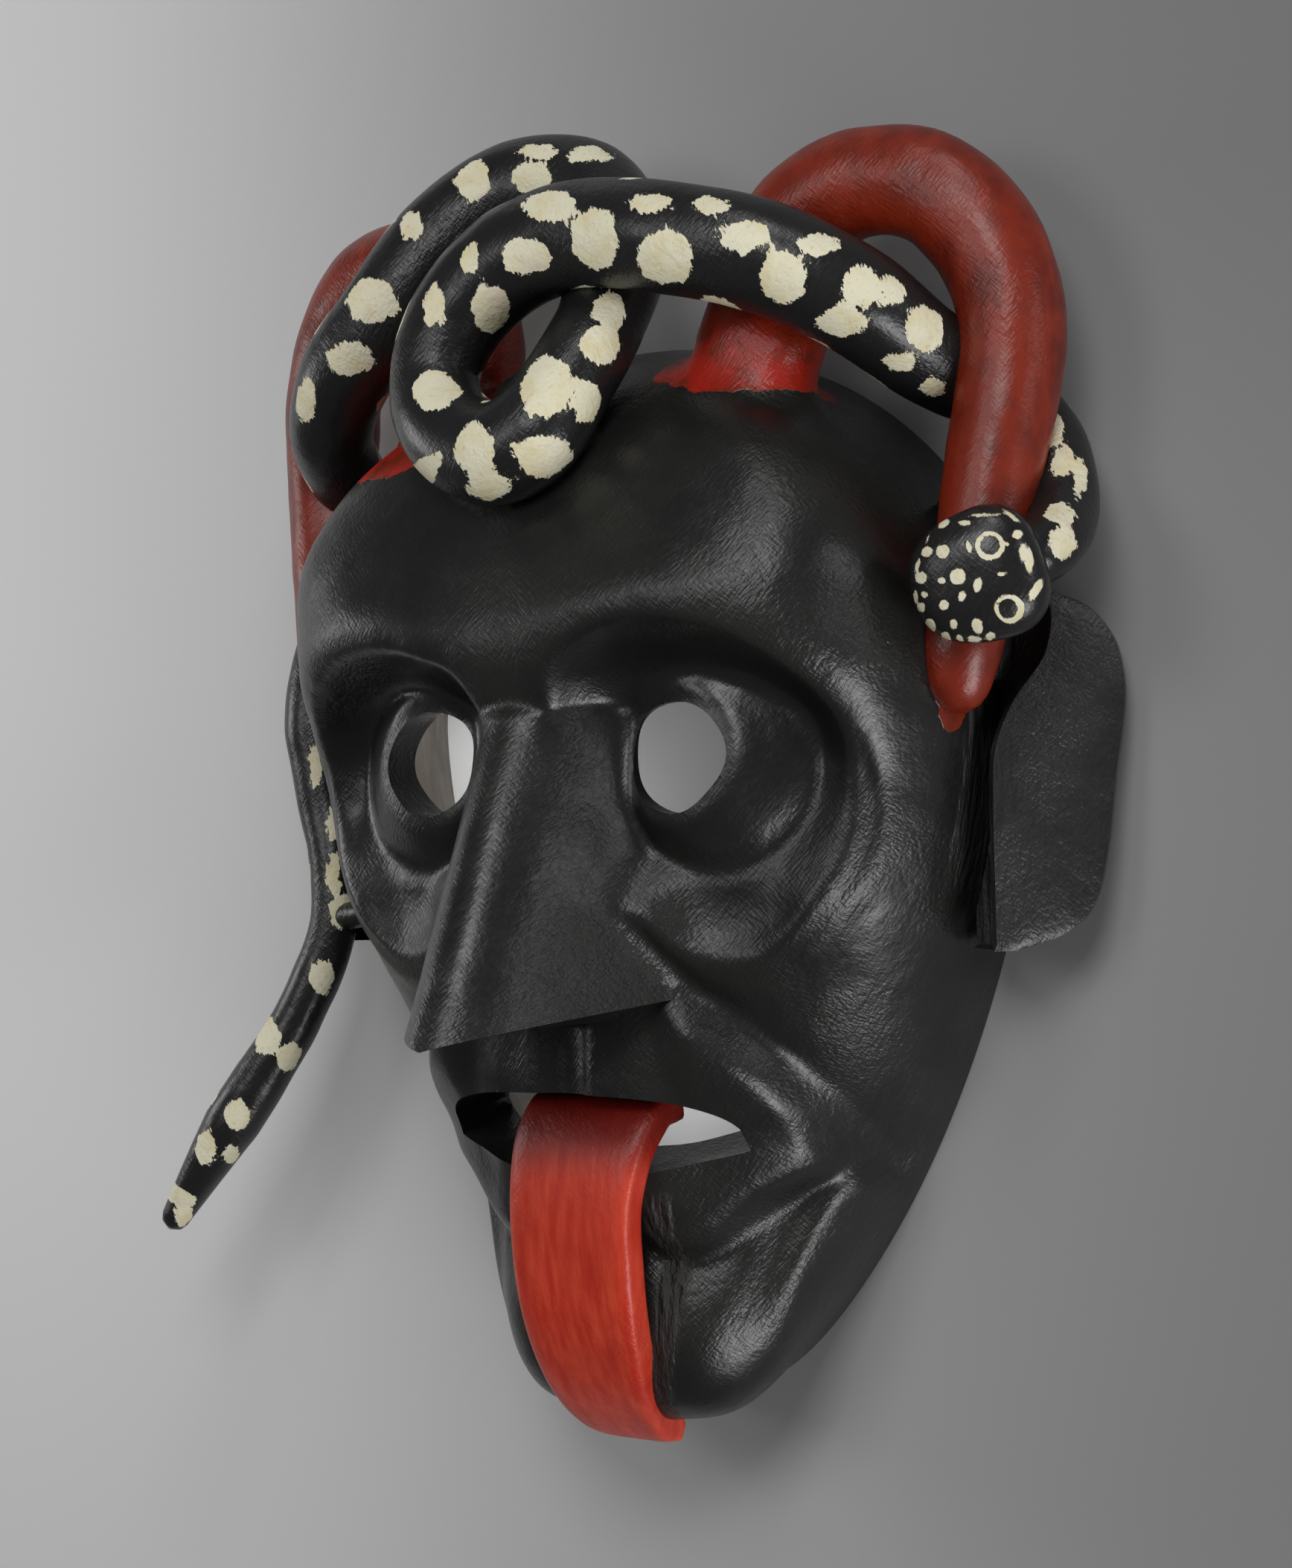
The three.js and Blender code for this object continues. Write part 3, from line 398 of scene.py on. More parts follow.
def ridge_share(s):
    """Share of the nose's height from its edges, at 1 and -1, to the rounded ridge at nought."""
    ridge = 1 - np.hypot(s, NOSE_RIDGE_SHARE) + NOSE_RIDGE_SHARE
    edge = 1 + NOSE_RIDGE_SHARE - math.hypot(1, NOSE_RIDGE_SHARE)
    return (ridge - edge) / (1 - edge)


def nose_front(x, y):
    """Height of the nose's two planes and rounded ridge, carried on past its edges."""
    s = x / NOSE_ROOT["half"]
    for _ in range(3):
        rise = NOSE_WING_RISE * np.minimum(np.abs(s), 1.2)
        t = np.clip((NOSE_ROOT["y"] - y) / (NOSE_ROOT["y"] - NOSE_TIP["y"] - rise), -0.2, 1.1)
        s = x / mix(NOSE_ROOT["half"], NOSE_TIP["half"], t)
    base, crown = mix(NOSE_ROOT["base"], NOSE_TIP["base"], t), mix(NOSE_ROOT["z"], NOSE_TIP["z"], t)
    return mix(base, crown, ridge_share(s))


def blended(a, b, width):
    """The greater of two heights, rounded where they cross."""
    return np.maximum(a, b) + np.maximum(width - np.abs(a - b), 0) ** 2 / (4 * width)


def relief(x, y):
    """What is carved into the dome and left on it; each smoothstep fades a form over a stretch."""
    # Distance from the midline, rounded as it crosses
    ax = np.hypot(x, 5) - 5 * bell(x / 20)

    # Sockets: deep under the brow, shallow above the cheek, with a crest over them and a bag below
    q = socket_share(ax, y, smoothstep(-5, -25, x))
    sy = (y - SOCKET_CENTRE[1]) / SOCKET_HALF_HEIGHT
    up = smoothstep(-0.6, 0.8, sy)
    depth = mix(SOCKET_DEPTH_CHEEK, SOCKET_DEPTH_BROW, up)
    level = mix(SOCKET_FLOOR_CHEEK, SOCKET_FLOOR_BROW, up)
    wall = np.clip((q - level) / (1 - level), 0, 1)
    socket = depth * (1 - mix(smoothstep(0, 1, wall), wall**BROW_EDGE_POWER, up))
    outward = ax - SOCKET_CENTRE[0] + 5 + 0.5 * np.maximum(-sy, 0) * SOCKET_HALF_HEIGHT
    aside = smoothstep(15, 27, outward) * smoothstep(0.6, 0.2, sy)
    socket = socket + swell(SOCKET_GROOVE, q) * aside
    crest = swell(BROW_CREST, q) * smoothstep(0, 0.7, sy)
    bag = swell(EYE_BAG, q) * smoothstep(0, 0.8, -sy)

    # Lids, and the lip round each eye hole
    lid_q = np.hypot((ax - LID["x"]) / LID["across"], (y - LID["y"]) / LID["up"])
    lid = LID["bulge"] * np.maximum(0, 1 - lid_q**2)
    lower_aside = smoothstep(0.5, -0.3, sy - 0.35 * (LID["x"] - ax) / LID["across"])
    groove = swell(LID_GROOVE, lid_q) * lower_aside
    hole_q = np.hypot(ax - EYE_HOLE["x"], y - EYE_HOLE["y"]) / EYE_HOLE["radius"]
    rim = swell(HOLE_LIP, hole_q)

    # Muzzle, lips, chin and the groove under the nose
    beyond = beside(MUZZLE_PATH, ax, y)
    raised = MUZZLE_EDGE["height"] * bell(np.maximum(beyond - MUZZLE_EDGE["inset"], 0) / MUZZLE_EDGE["width"])
    sunk = MUZZLE_FOLD["depth"] * np.exp(np.minimum(beyond, 0) / MUZZLE_FOLD["width"])
    muzzle = mix(-sunk, raised, smoothstep(-4, 5, beyond)) * smoothstep(24, 36, ax)
    lip = swell(LIP_SWELL, distance_to(LIP_PATH, ax, y))
    below = beside(LIP_CREASE_PATH, ax, y)
    over = LIP_CREASE["over"] * np.exp(np.minimum(below, 0) / LIP_CREASE["over_width"])
    under = LIP_CREASE["under"] * np.exp(-np.maximum(below, 0) / LIP_CREASE["under_width"])
    crease = mix(over, -under, smoothstep(-1.8, 1.8, below)) * smoothstep(60, 48, ax)
    inside = beside(CHIN_PATH, ax, y)
    chin = (swell(CHIN_EDGE, inside) - swell(CHIN_HOLLOW, inside)) * smoothstep(-90, -98, y)
    across = np.abs(x - PHILTRUM["x"]) / PHILTRUM["half"]
    philtrum = PHILTRUM["depth"] * np.maximum(0, 1 - across ** PHILTRUM["squareness"])
    philtrum = philtrum * smoothstep(-82, -76, y) * smoothstep(-44, -50, y)
    return crest + bag + lid + rim + muzzle + lip + chin + crease - socket - groove - philtrum


def even_step(r):
    """How far out from the dome's middle to go, for r of the way over its rounded front."""
    turn = np.linspace(0, math.pi / 2, 401)
    out, height = np.sin(turn) ** (2 / 3), np.cos(turn) ** (2 / 3)
    step = np.hypot(FACE_HALF_WIDTH * np.diff(out), FACE_RISE * np.diff(height))
    run = np.concatenate([[0], np.cumsum(step)])
    return np.interp(np.asarray(r) * run[-1], run, out)


def quads(rows, columns, closed=False):
    """Faces of a grid of points, counted row by row; closed joins the last column to the first."""
    r, c = np.meshgrid(np.arange(rows - 1), np.arange(columns if closed else columns - 1), indexing="ij")
    n = (c + 1) % columns
    a, b, d, e = r * columns + c, r * columns + n, (r + 1) * columns + n, (r + 1) * columns + c
    return np.stack([a, b, d, e], -1).reshape(-1, 4)


def split(points, quad_faces):
    """Each quad as two triangles, cut along its shorter diagonal."""
    a, b, c, d = (points[quad_faces[:, k]] for k in range(4))
    first = np.linalg.norm(a - c, axis=1) < np.linalg.norm(b - d, axis=1)
    p, q, r, s = quad_faces.T
    one = np.where(first[:, None], np.stack([p, q, r], 1), np.stack([p, q, s], 1))
    two = np.where(first[:, None], np.stack([p, r, s], 1), np.stack([q, r, s], 1))
    return np.vstack([one, two]).tolist()


def softened(z):
    """The heights of a grid, each evened with its neighbours but for the outermost."""
    soft = z.copy()
    rows = 0.25 * z[:-2] + 0.5 * z[1:-1] + 0.25 * z[2:]
    soft[1:-1, 1:-1] = 0.25 * rows[:, :-2] + 0.5 * rows[:, 1:-1] + 0.25 * rows[:, 2:]
    return soft


def values_of(items, name, width=1, kind=float):
    """What a mesh's points, edges or faces hold under a name, with a row for each of them."""
    flat = np.empty(len(items) * width, kind)
    items.foreach_get(name, flat)
    return flat.reshape(-1, width) if width > 1 else flat


def face_points(mesh):
    """A mesh's points in the face's frame."""
    return values_of(mesh.vertices, "co", 3) / MM + ORIGIN


def labels_of(mesh):
    return values_of(mesh.attributes["part"].data, "value", 1, np.int32)


def set_labels(mesh, labels):
    mesh.attributes.new("part", "INT", "FACE").data.foreach_set("value", labels)


def new_object(name, points, faces, label):
    """An object of one label from points in the face's frame and faces given as lists of vertex numbers."""
    mesh = bpy.data.meshes.new(name)
    placed = (np.asarray(points, float) - ORIGIN) * MM
    mesh.from_pydata(placed.tolist(), [], [list(map(int, f)) for f in faces])
    mesh.update()
    set_labels(mesh, np.full(len(mesh.polygons), label, np.int32))
    made = bpy.data.objects.new(name, mesh)
    bpy.context.scene.collection.objects.link(made)
    return made


def signed_volume(points, faces):
    total = 0
    for face in faces:
        p = points[list(face)]
        for k in range(1, len(face) - 1):
            total += np.dot(p[0], np.cross(p[k], p[k + 1]))
    return total / 6


def lofted(name, rings, label):
    """A closed solid from rings of points with flat ends, with its faces turned outwards."""
    rings = np.asarray(rings, float)
    count = rings.shape[1]
    points = np.vstack([rings.reshape(-1, 3), rings[0].mean(0), rings[-1].mean(0)])
    faces = quads(len(rings), count, closed=True).tolist()
    first, last, start = len(points) - 2, len(points) - 1, (len(rings) - 1) * count
    for i in range(count):
        n = (i + 1) % count
        faces.append([first, n, i])
        faces.append([last, start + i, start + n])
    if signed_volume(points, faces) < 0:
        faces = [f[::-1] for f in faces]
    return new_object(name, points, faces, label)


def dome(name, grid, wall, share, carve, bottom, label):
    """A closed dome: a square grid drawn out to the rim, raised, carved, and closed at the bottom."""
    columns, rows = grid
    u, v = np.meshgrid(np.linspace(-1, 1, columns + 1), np.linspace(-1, 1, rows + 1))
    dx, dy = u * np.sqrt(1 - v * v / 2), v * np.sqrt(1 - u * u / 2)
    r = np.maximum(np.hypot(dx, dy), 1e-9)
    above = dy >= 0
    power = np.where(above, FOREHEAD_SQUARENESS, JAW_SQUARENESS)
    rise = np.where(above, FOREHEAD_RISE - wall[1], CHIN_DROP - wall[2])
    spread = ((np.abs(dx) / r) ** power + (np.abs(dy) / r) ** power) ** (1 / power)
    g = even_step(r) / np.maximum(spread, 1e-9)
    x = (FACE_HALF_WIDTH - wall[0]) * g * dx / r
    y = FACE_CENTRE_Y + rise * g * dy / r
    base = dome_height(x, y, wall, share)
    z = base.copy()
    if carve:
        z += relief(x, y) * smoothstep(0, RIM_BLEND, base)
        places = np.stack([x, y, z], -1)
        wander = sum(depth * noise(places, size, seed) for depth, size, seed in KNIFE_WANDER)
        z += wander * smoothstep(0, RIM_BLEND, base)
        z = softened(z)
        edge = NOSE_TIP["y"] + NOSE_WING_RISE * np.clip(np.abs(x) / NOSE_TIP["half"], 0, 1.2)
        near_end = 0.35 * smoothstep(edge + 18, edge + 6, y)
        sunk = near_end + NOSE_END_DROP * smoothstep(edge + 4, edge + 1, y)
        root = NOSE_ROOT_FALL * np.maximum(y - NOSE_ROOT["y"] + 6, 0)
        z = np.where(y > edge + 1, blended(z, nose_front(x, y) - sunk - root, NOSE_BLEND), z)
    angle = np.degrees(np.arctan2(np.abs(x) / FACE_HALF_WIDTH, (FACE_CENTRE_Y - y) / CHIN_DROP))
    level = bell((z - CHIN_FLARE_Z) / CHIN_FLARE_RISE)
    flare = 1 + CHIN_FLARE * bell((angle - CHIN_FLARE_ANGLE) / CHIN_FLARE_SPREAD) * level
    rim = r > 1 - 1e-9
    flare = np.where(rim, 1, flare)
    z = np.where(rim, bottom, np.maximum(bottom, z))
    points = np.stack([x * flare, FACE_CENTRE_Y + (y - FACE_CENTRE_Y) * flare, z], -1).reshape(-1, 3)
    faces = split(points, quads(rows + 1, columns + 1))
    number = np.arange((rows + 1) * (columns + 1)).reshape(rows + 1, columns + 1)
    loop = np.concatenate([number[0, :-1], number[:-1, -1], number[-1, :0:-1], number[:0:-1, 0]])
    hub = len(points)
    points = np.vstack([points, [0, FACE_CENTRE_Y, bottom]])
    faces += [[a, hub, b] for a, b in zip(loop, np.roll(loop, -1))]
    return new_object(name, points, faces, label)


class Line:
    """A smooth line through points with a radius at each, walked at even steps."""

    def __init__(self, points, radii, steps):
        p = np.array(points, float)
        p = np.vstack([2 * p[0] - p[1], p, 2 * p[-1] - p[-2]])
        places, knots = [], []
        w = (np.arange(24) / 24)[:, None]
        here, leaving, there, arriving = curve_shares(w)
        for i in range(1, len(p) - 2):
            a, b, c, d = p[i - 1 : i + 3]
            ab, bc, cd = (np.linalg.norm(q - s) ** 0.5 for q, s in ((a, b), (b, c), (c, d)))
            start = ((b - a) / ab - (c - a) / (ab + bc) + (c - b) / bc) * bc
            end = ((c - b) / bc - (d - b) / (bc + cd) + (d - c) / cd) * bc
            places.append(here * b + leaving * start + there * c + arriving * end)
            knots.append(i - 1 + w[:, 0])
        places = np.vstack(places + [p[-2:-1]])
        knots = np.append(np.concatenate(knots), len(points) - 1)
        run = np.concatenate([[0], np.cumsum(np.linalg.norm(np.diff(places, axis=0), axis=1))])
        self.length = run[-1]
        self.s = np.linspace(0, self.length, steps + 1)
        self.at = np.stack([np.interp(self.s, run, places[:, k]) for k in range(3)], -1)
        self.knot = np.interp(self.s, run, knots)
        self.radius = np.interp(self.knot, np.arange(len(radii)), radii)
        self.ahead = np.gradient(self.at, axis=0)
        self.ahead /= np.linalg.norm(self.ahead, axis=1)[:, None]
        side = np.cross(self.ahead[0], [0, 0, 1.0])
        if np.linalg.norm(side) < 0.1:
            side = np.cross(self.ahead[0], [1.0, 0, 0])
        sides = [side / np.linalg.norm(side)]
        for t in self.ahead[1:]:
            side = sides[-1] - np.dot(sides[-1], t) * t
            sides.append(side / np.linalg.norm(side))
        self.side = np.array(sides)
        self.other = np.cross(self.ahead, self.side)


def rod(name, line, sides, label, wander=0.0, seed=0, depths=None):
    """A rod with rounded ends, whose surface wanders a little and whose depth may be less than its width."""
    turn = np.arange(sides) / sides * 2 * math.pi
    from_end = np.minimum(line.s, line.length - line.s) / line.radius
    rounding = np.sqrt(1 - (1 - np.clip(from_end, 0.02, 1)) ** 2)
    reach = (line.radius * rounding)[:, None, None]
    out = line.side[:, None] * np.cos(turn)[None, :, None] + line.other[:, None] * np.sin(turn)[None, :, None]
    rings = line.at[:, None] + out * reach
    if wander:
        lumps = noise(rings, 13, seed) + 0.5 * noise(rings, 6, seed + 1)
        rings = rings + out * (wander * lumps * rounding[:, None])[..., None]
    if depths:
        share = np.interp(line.knot, np.arange(len(depths)), depths)[:, None]
        rings[..., 2] = line.at[:, None, 2] + (rings[..., 2] - line.at[:, None, 2]) * share
    return lofted(name, rings, label)


def nose():
    steps, across = NOSE_GRID
    rings = []
    for t in np.linspace(0, 1, steps + 1):
        value = {key: mix(NOSE_ROOT[key], NOSE_TIP[key], t) for key in NOSE_ROOT}
        s = np.linspace(-1, 1, across + 1)
        y = value["y"] + NOSE_WING_RISE * t * np.abs(s)
        z = mix(value["base"], value["z"], ridge_share(s))
        p = np.stack([s * value["half"], y, z], -1)
        # A little under the dome's own nose, but at the tip
        p[:, 2] -= 0.4 * (1 - smoothstep(0.7, 0.95, t)) + 1.5 * (1 - smoothstep(0, 0.15, t))
        rings.append(np.vstack([p, [0, value["y"], value["base"] - 2]]))
    return lofted("nose", rings, NOSE)


def eye_hole(side):
    """The hole through one lid, not quite round, and the wider recess cut behind it."""
    turn = np.linspace(0, 2 * math.pi, EYE_SIDES, endpoint=False)
    wobble = sum((share * np.sin(waves * turn + shift * side) for share, waves, shift in EYE_WOBBLE), 1)

    def ring(z, radius):
        x = side * EYE_HOLE["x"] + radius * wobble * np.cos(turn)
        y = EYE_HOLE["y"] + radius * wobble * np.sin(turn)
        return np.stack([x, y, np.full(len(turn), z)], -1)

    recess_z = EYE_RECESS["right_z" if side > 0 else "left_z"]
    levels = [
        (EYE_HOLE["inner_z"], EYE_HOLE["inner_radius"]),
        (recess_z, EYE_HOLE["radius"]),
        (ABOVE_NOSE, EYE_HOLE["radius"]),
    ]
    behind = [(EYE_RECESS["inner_z"], EYE_RECESS["inner_radius"]), (recess_z, EYE_RECESS["radius"])]
    hole = lofted("eye_hole", [ring(z, radius) for z, radius in levels], CUT)
    return [hole, lofted("eye_recess", [ring(z, radius) for z, radius in behind], CUT)]


def mouth():
    """The slot: its lower lip and its corners draw in with depth."""

    def section(z):
        deep = np.clip((MOUTH["lip_z"] - z) / (MOUTH["lip_z"] - MOUTH["inner_z"]), -0.4, 1)
        lower = mix(MOUTH["lower_y"], MOUTH["inner_lower_y"], deep)
        half = mix(MOUTH["half"], MOUTH["inner_half"], max(deep, 0))
        corner = max(MOUTH["corner_y"], lower + 0.5)
        s = np.linspace(-1, 1, MOUTH_SIDES + 1)
        ceiling = mix(corner, MOUTH["top_y"], quarter(np.abs(s), MOUTH["upper_squareness"]))
        upper = np.stack([s * half, ceiling, s * 0 + z], -1)
        s = s[-2:0:-1]
        under = np.stack([s * half, mix(corner, lower, quarter(np.abs(s), 2)), s * 0 + z], -1)
        return np.vstack([upper, under])

    return lofted("mouth", [section(z) for z in [BELOW_RIM, *MOUTH_LEVELS, ABOVE_NOSE]], CUT)


def tongue():
    """A flat band down its path, narrowed on the right and rounded off at the tip."""
    steps, sides = TONGUE_GRID
    line = Line([(0, y, z) for y, z in TONGUE_PATH], [1] * len(TONGUE_PATH), steps)
    turn = (np.arange(sides) + 0.5) / sides * 2 * math.pi
    c, s = np.cos(turn), np.sin(turn)
    fit = (c**TONGUE_SQUARENESS + s**TONGUE_SQUARENESS) ** (-1 / TONGUE_SQUARENESS)
    rings = []
    for k in range(len(line.s)):
        left = (line.length - line.s[k]) / TONGUE_HALF_WIDTH
        rounding = math.sqrt(1 - (1 - np.clip(left, 0.15, 1)) ** 2)
        left_half = TONGUE_HALF_WIDTH * mix(TONGUE_TIP_SHARE, 1, rounding)
        half = np.where(c > 0, along(TONGUE_RIGHT, line.at[k, 1]), left_half)
        thick = TONGUE_HALF_THICKNESS * mix(TONGUE_TIP_SHARE, 1, min(1, 3 * left))
        out = s * fit * thick
        ahead = line.ahead[k]
        x = TONGUE_X + c * fit * half
        rings.append(np.stack([x, line.at[k, 1] - ahead[2] * out, line.at[k, 2] + ahead[1] * out], -1))
    return lofted("tongue", rings, TONGUE)


def head_frame():
    """The ways along the snake's head, across it and out of its top."""
    axis = HEAD_AXIS / np.linalg.norm(HEAD_AXIS)
    out = HEAD_TOP - np.dot(HEAD_TOP, axis) * axis
    out /= np.linalg.norm(out)
    return axis, np.cross(axis, out), out


def snake_head():
    """A domed shield with a rounded snout."""
    axis, across, out = head_frame()
    steps, sides = HEAD_GRID
    turn = np.arange(sides) / sides * 2 * math.pi
    c, s = np.cos(turn), np.sin(turn)
    fit = (np.abs(c) ** HEAD_SQUARENESS + np.abs(s) ** HEAD_SQUARENESS) ** (-1 / HEAD_SQUARENESS)
    rings = []
    for k in range(steps + 1):
        at = -math.cos((k + 0.2) / (steps + 0.4) * math.pi)
        full = quarter(abs(at), HEAD_SQUARENESS)
        rings.append(
            HEAD_CENTRE
            + axis * at * HEAD_HALF["length"]
            + across * (c * fit * full * (1 - HEAD_TAPER * at) * HEAD_HALF["width"])[:, None]
            + out * (s * fit * full * HEAD_HALF["thickness"])[:, None]
        )
    return lofted("head", rings, HEAD)


def ear(side, share):
    """A flat ear that leans back, with the carved channel along its root."""
    rings = []
    for k in range(EAR_STEPS + 1):
        s = -math.cos(k / EAR_STEPS * math.pi)
        y = mix(EAR_BOTTOM_Y, EAR_TOP_Y, (s + 1) / 2)
        reach = float(along(EAR_REACH, y)) * share
        shift = float(along(EAR_FRONT_SHIFT, y)) * share
        edge_x, edge_z = EAR_FRONT["x"] + reach, EAR_FRONT["z"] - EAR_SLOPE * reach
        front_x, front_z = EAR_FRONT["x"] + shift, EAR_FRONT["z"] - EAR_SLOPE * shift
        lip = min(1, (reach - shift) / EAR_THICKNESS)
        # From the root behind it, round its edge and over its front, down into the channel
        ring = np.array(
            [
                (EAR_ROOT_X, max(2, edge_z - EAR_THICKNESS)),
                (edge_x - EAR_THICKNESS * 0.8, max(2, edge_z - EAR_THICKNESS * 0.7)),
                (edge_x - 1, edge_z - 3),
                (edge_x, edge_z),
                (edge_x - 2 * lip, edge_z + 3 * lip),
                (front_x + 2.5 * lip, front_z - 2 * lip),
                (front_x + lip, front_z - 0.5 * lip),
                (front_x - 0.5, front_z - 1.5),
                (CHANNEL["x"] + 2.5, min(CHANNEL["z"] + 2, front_z - 2)),
                (CHANNEL["x"], CHANNEL["z"]),
                (EAR_ROOT_X, CHANNEL["z"]),
            ]
        )
        rings.append(np.stack([side * ring[:, 0], np.full(len(ring), y), ring[:, 1]], -1))
    return lofted("ear", rings, EAR)


def mirrored(path, share):
    """A path for the left side, at a share of the size from where it starts."""
    x0, y0 = path[0][:2]
    return [(-(x0 + (x - x0) * share), y0 + (y - y0) * share, z) for x, y, z in path]


def flipped(ends):
    (ax, ay, az), (bx, by, bz), radius = ends
    return (-ax, ay, az), (-bx, by, bz), radius


def web(ends):
    steps, sides = WEB_GRID
    return rod("web", Line(ends[:2], [ends[2]] * 2, steps), sides, WEB)


def join(whole, pieces, operation):
    """Adds or cuts pieces, and makes the whole one plain mesh."""
    for piece in pieces:
        step = whole.modifiers.new("step", "BOOLEAN")
        step.object = piece
        step.operation = operation
        step.solver = "MANIFOLD"
    depsgraph = bpy.context.evaluated_depsgraph_get()
    mesh = bpy.data.meshes.new_from_object(whole.evaluated_get(depsgraph), depsgraph=depsgraph)
    whole.modifiers.clear()
    whole.data = mesh
    for piece in pieces:
        bpy.data.objects.remove(piece)


def drop_slivers(whole):
    """Makes points a hair apart one, and drops triangles that are slivers or folded on each other."""
    mesh = whole.data
    mesh.calc_loop_triangles()
    faces = values_of(mesh.loop_triangles, "vertices", 3, np.int32)
    owner = values_of(mesh.loop_triangles, "polygon_index", 1, np.int32)
    labels = labels_of(mesh)[owner]
    on_grid = np.round(values_of(mesh.vertices, "co", 3) / HAIR)
    snapped, same = np.unique(on_grid, axis=0, return_inverse=True)
    faces = same.reshape(-1)[faces]
    a, b, c = faces.T
    full = (a != b) & (b != c) & (c != a)
    faces, labels = faces[full], labels[full]
    a, b, c = faces.T
    side = np.where((a < b) ^ (b < c) ^ (a < c), 1, -1)
    group = np.unique(np.sort(faces, axis=1), axis=0, return_inverse=True)[1].reshape(-1)
    kept = np.bincount(group, side)[group] * side > 0
    faces, labels = faces[kept], labels[kept]
    used, number = np.unique(faces, return_inverse=True)
    cleaned = bpy.data.meshes.new(mesh.name)
    cleaned.from_pydata((snapped[used] * HAIR).tolist(), [], number.reshape(-1, 3).tolist())
    cleaned.update()
    set_labels(cleaned, labels)
    whole.data = cleaned


def ease(mesh, places, rounds):
    """Rounds the creases inside each place, by evening points with their neighbours."""
    points = face_points(mesh)
    a, b = values_of(mesh.edges, "vertices", 2, np.int32).T
    share = np.zeros(len(points))
    for x, y, z, reach in places:
        gone = np.linalg.norm(points - (x, y, z), axis=1) / reach
        share = np.maximum(share, smoothstep(1, 0.5, gone))
    kept = (share[a] > 0) | (share[b] > 0)
    a, b = a[kept], b[kept]
    size = len(points)
    count = np.bincount(a, minlength=size) + np.bincount(b, minlength=size)
    for _ in range(rounds):
        total = np.zeros_like(points)
        for k in range(3):
            total[:, k] = np.bincount(a, points[b, k], size) + np.bincount(b, points[a, k], size)
        moved = total / np.maximum(count, 1)[:, None] - points
        points += np.where(share[:, None] > 0, moved, 0) * share[:, None] * CREASE_PULL
    mesh.vertices.foreach_set("co", ((points - ORIGIN) * MM).ravel())
    mesh.update()


def corner_values(mesh, values):
    """A value at each corner of the faces from the value at its point."""
    return values[values_of(mesh.loops, "vertex_index", 1, np.int32)]


def add_attribute(mesh, name, values):
    layer = mesh.attributes.new(name, "FLOAT", "CORNER")
    layer.data.foreach_set("value", np.ascontiguousarray(values, np.float32))


def nearest_on(line, points):
    """For each point, the distance outside the rod's surface and the station nearest to it."""
    best, place = np.full(len(points), 1e9), np.zeros(len(points), int)
    for k in range(len(line.s)):
        gone = np.linalg.norm(points - line.at[k], axis=1) - line.radius[k]
        nearer = gone < best
        best[nearer], place[nearer] = gone[nearer], k
    return best, place


def in_spot(ahead, aside, spot):
    """How far inside a spot a place is, in millimetres, below nought outside."""
    _, _, us, ua, vs, va = spot
    area = us * va - ua * vs
    p = (ahead * va - aside * vs) / area
    q = (aside * us - ahead * ua) / area
    return (1 - np.hypot(p, q)) * min(math.hypot(us, ua), math.hypot(vs, va))


def hidden_spots(line, seen, to_camera):
    """Spots for the sides that the photograph hides, kept clear of the seen ones."""
    form = HIDDEN_SPOTS
    pick = np.random.default_rng(form["seed"])
    made = []
    for ahead in np.arange(form["first"], line.length - form["last"], form["step"]):
        k = min(int(np.searchsorted(line.s, ahead)), len(line.s) - 1)
        radius = line.radius[k]
        for turned in range(0, 360, form["turn"]):
            angle = math.radians(turned + pick.uniform(-form["turned"], form["turned"]))
            out = line.side[k] * math.cos(angle) + line.other[k] * math.sin(angle)
            place = ahead + pick.uniform(-form["moved"], form["moved"])
            length, width = pick.uniform(*form["length"]) * radius, pick.uniform(*form["width"]) * radius
            if np.dot(out, to_camera) > 0.1 or min(place, line.length - place) < form["from_end"]:
                continue
            clear = True
            for other in seen + made:
                step = (math.degrees(angle) - other[1] + 180) % 360 - 180
                gone = math.hypot(place - other[0], math.radians(step) * radius)
                reach = max(math.hypot(other[2], other[3]), math.hypot(other[4], other[5]))
                clear &= gone > length + reach + form["gap"]
            if clear:
                made.append((place, math.degrees(angle), length, 0, 0, width))
    return made


